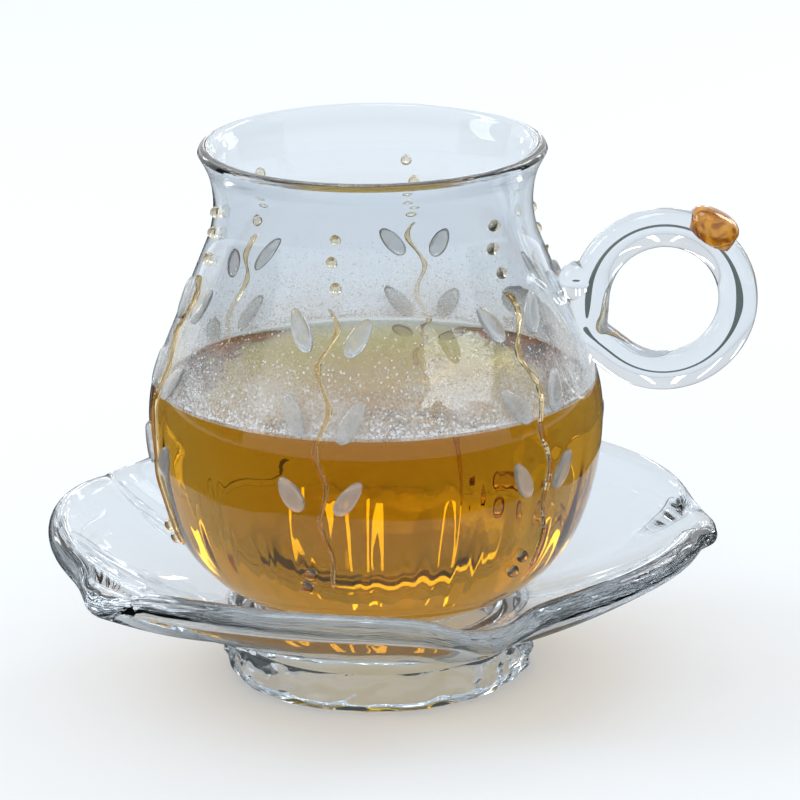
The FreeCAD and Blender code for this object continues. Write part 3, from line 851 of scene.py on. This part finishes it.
@dataclass
class Condensation:
    """Fine drops of water on the inside of the wall, thickest just above the tea."""

    outline: CupOutline
    count: int = 8600
    low: float = 59.2
    high: float = 77.0
    largest: float = 0.29
    crowding: float = 2.3
    sides: int = 6
    seed: int = 7

    def make(self) -> bpy.types.Object:
        """Build all the drops as one piece.

        Returns:
            The drops' piece.
        """
        source = random.Random(self.seed)
        parts = []
        for _ in range(self.count):
            rise = source.random() ** self.crowding
            level = self.low + (self.high - self.low) * rise
            radius = self.largest * (0.35 + 0.65 * source.random() ** 3) * (1.1 - 0.5 * rise)
            azimuth = source.uniform(0.0, 360.0)
            parts.append(self.drop(azimuth, level, radius))
        piece = mesh_object("condensation", *joined(parts), WATER.make(), 80.0)
        return keep(piece, "clear_glass")

    def drop(self, azimuth: float, level: float, radius: float) -> Skin:
        """One drop, a low dome that sits a hair into the inner face.

        Args:
            azimuth: in degrees.
            level: height above the floor.
            radius: the drop's radius.

        Returns:
            The points and faces.
        """
        inset, sides = self.outline.wall, self.sides
        points = []
        for reach, lift in ((1.0, -0.04), (0.82, 0.36 * radius)):
            for side in range(sides):
                turn = 2 * math.pi * side / sides
                points.append(self.outline.on_wall(
                    azimuth, level + radius * reach * math.sin(turn), radius * reach * math.cos(turn),
                    -lift, inset))
        points.append(self.outline.on_wall(azimuth, level, 0.0, -0.62 * radius, inset))
        faces: list[tuple[int, ...]] = [tuple(range(sides))]
        for side in range(sides):
            beside = (side + 1) % sides
            faces.append((beside, side, sides + side, sides + beside))
            faces.append((sides + beside, sides + side, 2 * sides))
        return points, faces


# ------------------------------------------------------------------ vines

@dataclass
class Vine:
    """One melted-on vine: a wavy thread with a bulb at its top, three pairs of leaves, five beads."""

    outline: CupOutline
    number: int
    source: random.Random
    azimuth: float
    top: float = 81.7
    foot: float = 29.0
    sway: float = 1.9
    waves: float = 3.7
    fade: float = 1.3
    thread: float = 0.66
    bulb: float = 1.15
    root_depth: float = 0.05
    leaf_levels: tuple[float, ...] = (77.0, 62.8, 47.7)
    leaf_long: float = 4.0
    leaf_wide: float = 1.85
    leaf_rise: float = 0.95
    leaf_out: float = 5.5
    leaf_lean_deg: float = 32.0
    bead: float = 1.12
    top_beads: tuple[float, ...] = (94.3, 90.0, 85.3)
    foot_beads: tuple[float, ...] = (32.1, 29.1)

    def side_at(self, part: float) -> float:
        """Sideways place of the thread, 0 at its upper end and 1 at its lower."""
        wave = math.sin(2 * math.pi * self.waves * part) * math.exp(-self.fade * part)
        return self.sway * wave + 1.6 * part ** 3

    def stem(self) -> Skin:
        """The thread, flat where it is melted on, thinning out of its bulb.

        Returns:
            The points and faces.
        """
        count, sides = 150, 12
        points: list[Vector] = []
        faces: list[tuple[int, ...]] = []
        for index in range(count):
            part = index / (count - 1)
            level = self.top + (self.foot - self.top) * part
            swell = math.exp(-(part / 0.022) ** 2)
            radius = self.thread * (1 - 0.25 * part) + (self.bulb - self.thread) * swell
            radius *= 1 + 0.07 * math.sin(part * 37 + self.number)
            ends = min(1.0, 0.25 + part * 60, 0.25 + (1 - part) * 40)
            radius *= math.sqrt(ends)
            ahead = self.side_at(min(1.0, part + 0.004)) - self.side_at(max(0.0, part - 0.004))
            fall = (self.foot - self.top) * 0.008
            long = math.hypot(ahead, fall)
            for side in range(sides + 1):
                turn = math.radians(-25) + math.radians(230) * side / sides
                lift = max(-self.root_depth, radius * (0.42 + math.sin(turn)))
                aside = radius * math.cos(turn)
                points.append(self.outline.on_wall(
                    self.azimuth, level - aside * ahead / long,
                    self.side_at(part) - aside * fall / long, lift))
        ring = sides + 1
        for index in range(count - 1):
            for side in range(ring):
                beside = (side + 1) % ring
                here, there = index * ring, (index + 1) * ring
                faces.append((here + side, here + beside, there + beside, there + side))
        faces.append(tuple(reversed(range(ring))))
        faces.append(tuple((count - 1) * ring + side for side in range(ring)))
        return points, faces

    def dab(self, level: float, aside: float, half: tuple[float, float], rise: float, lean: float,
            steps: Sequence[tuple[float, float]]) -> Skin:
        """A rounded dab of glass on the wall, with a flat root just inside it.

        Args:
            level: height of its middle.
            aside: its middle's distance round the wall from the vine's line.
            half: half its width and half its length.
            rise: how far its top stands out.
            lean: how far its length leans from upright, in radians.
            steps: rings from the root to the top, as (share of the half sizes, share of the rise).

        Returns:
            The points and faces.
        """
        sides = 28
        points, faces = [], []
        for reach, height in steps:
            for side in range(sides):
                turn = 2 * math.pi * side / sides
                across = half[0] * reach * math.cos(turn)
                along = half[1] * reach * math.sin(turn)
                across *= 1 - 0.16 * math.sin(turn)
                lift = height * rise if height >= 0 else -self.root_depth
                points.append(self.outline.on_wall(
                    self.azimuth, level + along * math.cos(lean) - across * math.sin(lean),
                    aside + across * math.cos(lean) + along * math.sin(lean), lift))
        points.append(self.outline.on_wall(self.azimuth, level, aside, rise))
        rings = len(steps)
        faces.append(tuple(reversed(range(sides))))
        for ring in range(rings - 1):
            for side in range(sides):
                here, beside = ring * sides + side, ring * sides + (side + 1) % sides
                faces.append((here, beside, beside + sides, here + sides))
        for side in range(sides):
            here, beside = (rings - 1) * sides + side, (rings - 1) * sides + (side + 1) % sides
            faces.append((here, beside, rings * sides))
        return points, faces

    def leaf(self, level: float, side: int) -> Skin:
        """One oval leaf beside the stem.

        Args:
            level: height of its middle, before it is varied.
            side: -1 or 1.

        Returns:
            The points and faces.
        """
        vary = self.source.uniform
        steps = [(1.0, -1.0), (1.0, 0.12), (0.985, 0.36), (0.94, 0.62), (0.86, 0.82), (0.74, 0.94),
                 (0.55, 0.985), (0.3, 1.0)]
        half = (self.leaf_wide * vary(0.92, 1.08), self.leaf_long * vary(0.93, 1.05))
        lean = side * math.radians(self.leaf_lean_deg + vary(-7.0, 7.0))
        aside = side * self.leaf_out * vary(0.93, 1.05)
        return self.dab(level + vary(-0.8, 0.8), aside, half, self.leaf_rise, lean, steps)

    def drop(self, level: float, aside: float) -> Skin:
        """One bead, rather more than half a ball.

        Args:
            level: height of its middle.
            aside: its distance round the wall from the vine's line.

        Returns:
            The points and faces.
        """
        radius = self.bead * self.source.uniform(0.92, 1.08)
        waist = 0.42
        steps = [(math.sqrt(1 - waist ** 2), -1.0)]
        for index in range(11):
            turn = -math.asin(waist) + (math.pi / 2 + math.asin(waist)) * index / 11
            steps.append((math.cos(turn), (math.sin(turn) + waist) / (1 + waist)))
        return self.dab(level, aside, (radius, radius), radius * (1 + waist), 0.0, steps)

    def make(self, honey: bpy.types.Material, pale: bpy.types.Material,
             opal: bpy.types.Material) -> None:
        """Build the stem, the leaves and the beads as three pieces.

        Args:
            honey: the thread's finish.
            pale: the beads' finish.
            opal: the leaves' finish.
        """
        name = "vine_%d_" % self.number
        stem = mesh_object(name + "thread", *self.stem(), honey, 75.0)
        keep(stem, "clear_glass", name + "stem")
        leaves = [self.leaf(level, side) for level in self.leaf_levels for side in (-1, 1)]
        keep(mesh_object(name + "leaf_dabs", *joined(leaves), opal, 75.0), "clear_glass", name + "leaves")
        beads = [self.drop(level, (0.9 - 1.6 * (index % 2)) * self.source.uniform(0.3, 1.0))
                 for index, level in enumerate(self.top_beads)]
        beads += [self.drop(level, -(2.5 + index) * self.bead)
                  for index, level in enumerate(self.foot_beads)]
        keep(mesh_object(name + "glass_beads", *joined(beads), pale, 75.0), "clear_glass", name + "beads")


@dataclass
class ThumbDrop:
    """The amber drop melted over the top of the ring, wrapped round the outer side of the rod."""

    ring: Ring
    middle_deg: float = 57.0
    half_long: float = 4.0
    half_round_deg: float = 92.0
    rise: float = 2.4
    overlap: float = 0.25
    squareness: float = 2.6
    long_count: int = 36
    round_count: int = 48

    def make(self) -> bpy.types.Object:
        """Build the drop as a closed skin over part of the rod.

        Returns:
            The drop's piece.
        """
        ring_middle, mean, rod = self.ring.centre, self.ring.mean, self.ring.rod
        long_count, round_count = self.long_count, self.round_count
        outer: list[Vector] = []
        inner: list[Vector] = []
        for index in range(long_count + 1):
            along = -1 + 2 * index / long_count
            for side in range(round_count + 1):
                about = -1 + 2 * side / round_count
                edge = abs(about) ** self.squareness * 0.999
                inside = max(0.0, 1 - abs(along) ** self.squareness - edge)
                rise = self.rise * inside ** 0.45 * (1 - 0.15 * along)
                squeeze = math.sqrt(max(0.0, 1 - 0.45 * along ** 2))
                out = in_handle(math.radians(self.middle_deg) + along * self.half_long / mean)
                roll = math.radians(self.half_round_deg) * about * squeeze
                direction = out * math.cos(roll) + Vector((0.0, 1.0, 0.0)) * math.sin(roll)
                for skin, reach in ((outer, rod + rise - 0.04), (inner, rod - self.overlap)):
                    skin.append(ring_middle + out * mean + direction * reach)
        ring = round_count + 1
        offset = len(outer)
        faces: list[tuple[int, ...]] = []
        for index in range(long_count):
            for side in range(round_count):
                here = index * ring + side
                faces.append((here, here + 1, here + ring + 1, here + ring))
                faces.append(tuple(offset + corner
                                   for corner in (here, here + ring, here + ring + 1, here + 1)))
        for index in range(long_count):
            for side, flip in ((0, False), (round_count, True)):
                here = index * ring + side
                face = (here, here + ring, offset + here + ring, offset + here)
                faces.append(tuple(reversed(face)) if flip else face)
        for side in range(round_count):
            for index, flip in ((0, True), (long_count, False)):
                here = index * ring + side
                face = (here, here + 1, offset + here + 1, offset + here)
                faces.append(tuple(reversed(face)) if flip else face)
        piece = mesh_object("thumb_drop_amber", outer + inner, faces, AMBER_GLASS.make(), 70.0)
        return keep(piece, "amber_glass", "thumb_drop")


# ------------------------------------------------------------------ saucer

def resampled(points: Profile, count: int) -> Profile:
    """The same line with a fixed number of evenly spaced points.

    Args:
        points: the line.
        count: number of points wanted.

    Returns:
        The new points, with the same ends.
    """
    lengths = [0.0]
    for here, after in zip(points, points[1:]):
        lengths.append(lengths[-1] + math.dist(here, after))
    spaced, index = [], 0
    for step in range(count):
        wanted = lengths[-1] * step / (count - 1)
        while index < len(points) - 2 and lengths[index + 1] < wanted:
            index += 1
        part = (wanted - lengths[index]) / (lengths[index + 1] - lengths[index])
        here, after = points[index], points[index + 1]
        spaced.append((here[0] + (after[0] - here[0]) * part, here[1] + (after[1] - here[1]) * part))
    return spaced


@dataclass
class Saucer:
    """The saucer: a raised seat, five swept petals with a rolled rim, and a worked foot ring."""

    petals: int = 5
    petal_columns: int = 84
    corner_turn_deg: float = 18.0
    seat: float = 14.46
    seat_radius: float = 19.0
    seat_step: float = 0.7
    seat_glass: float = 3.9
    petal_start: float = 15.0
    petal_glass: float = 3.0
    sweep: float = 2.3
    rim_radius: float = 61.6
    rim_height: float = 29.0
    rim_bead: float = 2.7
    rim_dip: float = 3.2
    rim_notch: float = 1.6
    tip_reach: float = 4.0
    tip_bead: float = 1.7
    pinch_width: float = 0.16
    corner_drop: float = 0.75
    crease_soft: float = 0.05
    foot_neck: float = 28.0
    foot_neck_height: float = 7.4
    foot_bulge: float = 30.6
    foot_bore: float = 25.0
    foot_land: float = 2.4
    foot_ripple: float = 1.1
    foot_corner: float = 1.6
    foot_fillet: float = 2.6
    petal_steps: int = 72
    under_rows: int = 44
    top_rows: int = 52

    def petal(self, turn: float) -> tuple[Profile, Profile, Profile]:
        """The section of a petal at an azimuth in radians.

        Args:
            turn: the azimuth.

        Returns:
            The underside from the foot outwards, the rim's bead, and the top from the rim inwards.
        """
        part = ((turn - math.radians(self.corner_turn_deg)) * self.petals / (2 * math.pi)) % 1.0
        across = 1 - (math.hypot(1 - abs(2 * part - 1), self.crease_soft) - self.crease_soft)
        pinch = math.exp(-((1 - across) / self.pinch_width) ** 2)
        reach = self.rim_radius - self.rim_notch * across ** 4 + self.tip_reach * pinch
        height = self.rim_height - self.rim_dip * across ** 3
        drop = self.corner_drop * math.exp(-((1 - across) / 0.06) ** 2)
        bead = self.rim_bead + (self.tip_bead - self.rim_bead) * pinch + drop
        lump = noise.noise(Vector((3.1 * math.sin(turn), 3.1 * math.cos(turn), 4.0)))
        bead *= 1 + 0.05 * lump
        floor = self.seat - self.seat_step - self.petal_glass / 2
        upper, lower = [], []
        for index in range(self.petal_steps + 1):
            along = index / self.petal_steps
            radius = self.petal_start + (reach - self.petal_start) * along
            level = floor + (height - floor) * along ** self.sweep
            slope = (height - floor) / (reach - self.petal_start) * self.sweep * along ** (self.sweep - 1)
            normal = Vector((-slope, 1.0)).normalized()
            half = self.petal_glass / 2 + (bead - self.petal_glass / 2) * along ** 6
            wave = noise.noise(Vector((radius * math.sin(turn), radius * math.cos(turn), 0.0)) * 0.07)
            top = half + 0.10 * wave * min(1.0, along * 4)
            upper.append((radius + normal.x * top, level + normal.y * top))
            lower.append((radius - normal.x * half, level - normal.y * half))
        start = math.atan2(-normal.y, -normal.x)
        rim = []
        turns = 16
        for index in range(1, turns):
            angle = start + math.pi * index / turns
            rim.append((radius + bead * math.cos(angle), level + bead * math.sin(angle)))
        return lower, rim, upper[::-1]

    def foot(self, turn: float) -> Profile:
        """The foot ring's section from the axis to the underside of the petals.

        Args:
            turn: the azimuth.

        Returns:
            The points as (radius, height).
        """
        under = self.seat - self.seat_glass
        lump = noise.noise(Vector((5 * math.sin(turn), 5 * math.cos(turn), 1.5)))
        stray = noise.noise(Vector((2 * math.sin(turn), 2 * math.cos(turn), 9.0)))
        lump += 0.8 * math.sin(11 * turn + 2 * stray)
        points = [(self.foot_bore * (index + 0.5) / 9, under) for index in range(8)]
        corner = self.foot_corner
        for index in range(7):
            angle = math.pi / 2 - math.pi / 2 * index / 6
            points.append((self.foot_bore - corner + corner * math.cos(angle),
                           under - corner + corner * math.sin(angle)))
        for index in range(1, 6):
            level = under - corner - (under - corner - self.foot_land) * index / 6
            points.append((self.foot_bore + 0.12 * lump, level))
        wide = self.foot_neck - self.foot_bore
        for index in range(9):
            angle = math.pi + math.pi / 2 * index / 8
            points.append((self.foot_bore + wide * 0.8 + wide * 0.8 * math.cos(angle),
                           self.foot_land + self.foot_land * math.sin(angle)))
        rise = self.foot_neck_height / 2
        out = self.foot_bulge - self.foot_neck
        for index in range(15):
            angle = -math.pi / 2 + math.pi * index / 14
            bulge = max(0.0, math.cos(angle)) ** 0.8
            knob = noise.noise(Vector((6 * math.sin(turn), 6 * math.cos(turn), 1.3 * angle)))
            grown = out + self.foot_ripple * min(0.0, 0.6 * lump + 1.4 * knob - 0.6)
            points.append((self.foot_neck + grown * bulge, rise + rise * math.sin(angle)))
        return points

    def section(self, turn: float) -> Profile:
        """The saucer's whole closed half section.

        Args:
            turn: the azimuth in radians.

        Returns:
            The points, from the axis under the seat to the axis on top of it.
        """
        lower, rim, upper = self.petal(turn)
        foot = self.foot(turn)
        fillet = self.foot_fillet
        join = self.foot_neck + fillet + 0.4
        under = resampled([point for point in lower if point[0] > join], self.under_rows)
        first = under[0]
        neck = []
        for index in range(1, 9):
            angle = math.pi - math.pi / 2 * index / 8
            neck.append((join + fillet * math.cos(angle), first[1] - fillet + fillet * math.sin(angle)))
        step_out, step_in = self.seat_radius + 1.1, self.seat_radius - 0.2
        top = resampled([point for point in upper if point[0] > step_out + 0.6], self.top_rows)
        floor = top[-1][1]
        step = []
        for index in range(9):
            part = 0.5 - 0.5 * math.cos(math.pi * index / 8)
            step.append((step_out + (step_in - step_out) * index / 8, floor + (self.seat - floor) * part))
        seat = [(step_in * (1 - (index + 1) / 12.5), self.seat) for index in range(12)]
        return foot + neck + under + rim + top + step + seat

    def make(self) -> bpy.types.Object:
        """Build the saucer as one closed skin.

        Returns:
            The saucer's piece.
        """
        turns = [self.column_turn(column) for column in range(self.petals * self.petal_columns)]
        sections = [self.section(turn) for turn in turns]
        rows, count = len(sections[0]), len(turns)

        def place(even: float, row: int) -> Vector:
            """A point of the saucer's skin; even is the azimuth of evenly spread columns."""
            column = round(even * count / (2 * math.pi)) % count
            radius, level = sections[column][row]
            return around(turns[column]) * radius + raised(level)

        grid = turned_grid(count, rows, place)
        return keep(mesh_object("saucer_glass", *grid, WORKED_GLASS.make()), "clear_glass", "saucer")

    def column_turn(self, column: int) -> float:
        """Where a column stands; the columns lie closest at the pinched corners.

        Args:
            column: its number.

        Returns:
            Its azimuth in radians.
        """
        petal, place = divmod(column, self.petal_columns)
        even = place / self.petal_columns
        part = 0.35 * even + 0.65 * (0.5 - 0.5 * math.cos(math.pi * even))
        return math.radians(self.corner_turn_deg) + 2 * math.pi * (petal + part) / self.petals


# ------------------------------------------------------------------ studio

class SeenBy(Enum):
    """Which rays see a dark card, besides gloss; the value tells whether light through glass does."""

    GLOSS_AND_GLASS = True
    GLOSS_ALONE = False


@dataclass
class Studio:
    """A pale floor, a white surround, soft lamps, hidden dark cards that paint dark reflections into
    the glass, and the camera.
    """

    card_reach: float = 1300.0
    floor_card_radius: float = 900.0
    disc_radius: float = 33.0
    disc_sides: int = 24

    def make(self) -> None:
        """Set the stage."""
        self.world()
        self.floor()
        self.lamp("window_left", (-0.80, 0.10, 0.62), (0.0, 0.0, 0.07), (0.26, 0.44), 2.0)
        self.lamp("window_right", (0.62, 0.55, 0.60), (0.0, 0.0, 0.07), (0.22, 0.40), 1.5)
        self.lamp("low_left", (-0.75, 1.05, 0.34), (0.0, 0.0, 0.05), (0.10, 0.30), 0.5)
        self.lamp("low_right", (0.80, 1.00, 0.34), (0.0, 0.0, 0.05), (0.10, 0.30), 0.5)
        for name, across, wide in (("strip_left", -0.20, 0.035), ("strip_middle", 0.06, 0.05),
                                   ("strip_right", 0.24, 0.03)):
            self.lamp(name, (across, 1.40, 0.27), (0.0, 0.0, 0.03), (wide, 0.44), 5.0 * wide)
        self.lamp("overhead", (-0.10, 0.15, 1.0), (0.0, 0.0, 0.05), (0.4, 0.3), 1.2)
        self.cards()
        self.camera()
        cycles = bpy.context.scene.cycles
        cycles.max_bounces = 24
        cycles.transmission_bounces = 20
        cycles.glossy_bounces = 16
        cycles.caustics_reflective = False
        cycles.caustics_refractive = False

    def world(self) -> None:
        """A soft, even, pale room."""
        world = bpy.data.worlds.new("soft_pale_room")
        bpy.context.scene.world = world
        world.use_nodes = True
        tree = world.node_tree
        tree.nodes.clear()
        soft = add_node(tree, "ShaderNodeBackground", {"Color": linear("#f7f9fb"), "Strength": 1.0})
        add_node(tree, "ShaderNodeOutputWorld", None, {"Surface": soft.outputs[0]})

    def floor(self) -> None:
        """A wide pale floor that keeps the object's shadow."""
        material, tree = new_material("pale_painted_board")
        board = add_node(tree, "ShaderNodeBsdfDiffuse", {"Color": linear("#e3e7eb")})
        add_node(tree, "ShaderNodeOutputMaterial", None, {"Surface": board.outputs[0]})
        half = 3000.0
        corners = [Vector((x * half, y * half, -0.02)) for x, y in ((-1, -1), (1, -1), (1, 1), (-1, 1))]
        mesh_object("floor", corners, [(0, 1, 2, 3)], material)

    def lamp(self, name: str, place: tuple[float, float, float], target: tuple[float, float, float],
             size: tuple[float, float], power: float) -> None:
        """Hang one soft rectangular lamp.

        Args:
            name: the lamp's name.
            place: where it hangs.
            target: the point it faces.
            size: its width and height.
            power: its power in watts.
        """
        data = bpy.data.lights.new(name, "AREA")
        data.shape = "RECTANGLE"
        data.size, data.size_y = size
        data.energy = power
        lamp = bpy.data.objects.new(name, data)
        lamp.location = place
        lamp.rotation_euler = (Vector(target) - Vector(place)).to_track_quat("-Z", "Y").to_euler()
        bpy.context.scene.collection.objects.link(lamp)

    def card(self, name: str, corners: Sequence[tuple[float, float, float]], tone: str,
             seen_by: SeenBy = SeenBy.GLOSS_AND_GLASS) -> None:
        """Set out one dark card that the camera never sees, to draw the glass's edges: a faint dark glow
        that paints dark reflections into the glass.

        Args:
            name: the card's name.
            corners: its corners in order, in millimetres.
            tone: the colour of its faint dark glow.
            seen_by: which rays see it.
        """
        # Painted dark reflection: a faint dark glow, hidden from the camera, from diffuse light and from
        # shadows.
        material, tree = new_material(name + "_painted_reflection")
        face = add_node(tree, "ShaderNodeEmission", {"Color": linear(tone), "Strength": 1.0})
        add_node(tree, "ShaderNodeOutputMaterial", None, {"Surface": face.outputs[0]})
        card = mesh_object(name, [Vector(corner) for corner in corners], [range(len(corners))], material)
        card.visible_camera = False
        card.visible_diffuse = False
        card.visible_shadow = False
        card.visible_transmission = seen_by.value

    def disc(self, middle: Vector, radius: float) -> list[Vector]:
        """Corners of a level disc; the radius is in millimetres."""
        return [middle + around(2 * math.pi * side / self.disc_sides) * radius
                for side in range(self.disc_sides)]

    def cards(self) -> None:
        """The hidden dark cards, which paint dark reflections into the glass: one each side, a bar
        overhead and two flat on the floor.

        The disc behind the handle draws the dark line in the handle's rod. The floor card lies all
        round the saucer and is seen by reflections alone, so the glass mirrors a floor darker than
        the one that the camera sees.
        """
        for name, side in (("dark_card_left", -1), ("dark_card_right", 1)):
            across = side * self.card_reach
            self.card(name, ((across, -500, 20), (across, 800, 20), (across, 800, 620), (across, -500, 620)),
                      "#66706e")
        self.card("dark_bar_over", ((-700, 250, 800), (700, 250, 800), (700, 520, 850), (-700, 520, 850)),
                  "#59625f")
        self.card("dark_disc_behind_handle", self.disc(Vector((74.0, 262.0, 2.0)), self.disc_radius),
                  "#66706d")
        self.card("dark_floor_card", self.disc(raised(0.4), self.floor_card_radius), "#4a4f50",
                  SeenBy.GLOSS_ALONE)

    def camera(self) -> None:
        """Place the camera in front of the handle's side view, looking down a little."""
        pitch, yaw, roll = (math.radians(angle) for angle in (17.142, 0.311, -0.678))
        forward = Vector((math.sin(yaw) * math.cos(pitch), math.cos(yaw) * math.cos(pitch),
                          -math.sin(pitch)))
        right = Vector((math.cos(yaw), -math.sin(yaw), 0.0))
        up = right.cross(forward)
        side = right * math.cos(roll) + up * math.sin(roll)
        top = up * math.cos(roll) - right * math.sin(roll)
        data = bpy.data.cameras.new("view_camera")
        data.lens = 209.58
        data.sensor_width = 36.0
        data.clip_start = 0.05
        camera = bpy.data.objects.new("view_camera", data)
        rows = Matrix((side, top, -forward)).transposed().to_4x4()
        rows.translation = Vector((0.0, -0.863892, 0.320265))
        camera.matrix_world = rows
        bpy.context.scene.collection.objects.link(camera)
        bpy.context.scene.camera = camera


def main() -> None:
    """Build every piece in order."""
    logging.basicConfig(level=logging.INFO, format="%(name)s: %(message)s")
    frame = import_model()
    log.info("frame with %d nodes", len(frame["nodes"]))
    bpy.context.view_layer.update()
    bpy.context.scene.view_settings.view_transform = "Standard"
    Studio().make()
    outline, ring = CupOutline(), Ring()
    Cup(outline, ring).make()
    Tea(outline).make()
    Condensation(outline).make()
    honey, pale, opal = HONEY_GLASS.make(), HONEY_BEAD.make(), OPAL_GLASS.make()
    for number in range(6):
        source = random.Random(40 + number)
        Vine(outline, number + 1, source, -14.0 + 60.0 * number).make(honey, pale, opal)
    ThumbDrop(ring).make()
    Saucer().make()


if __name__ == "__main__":
    main()
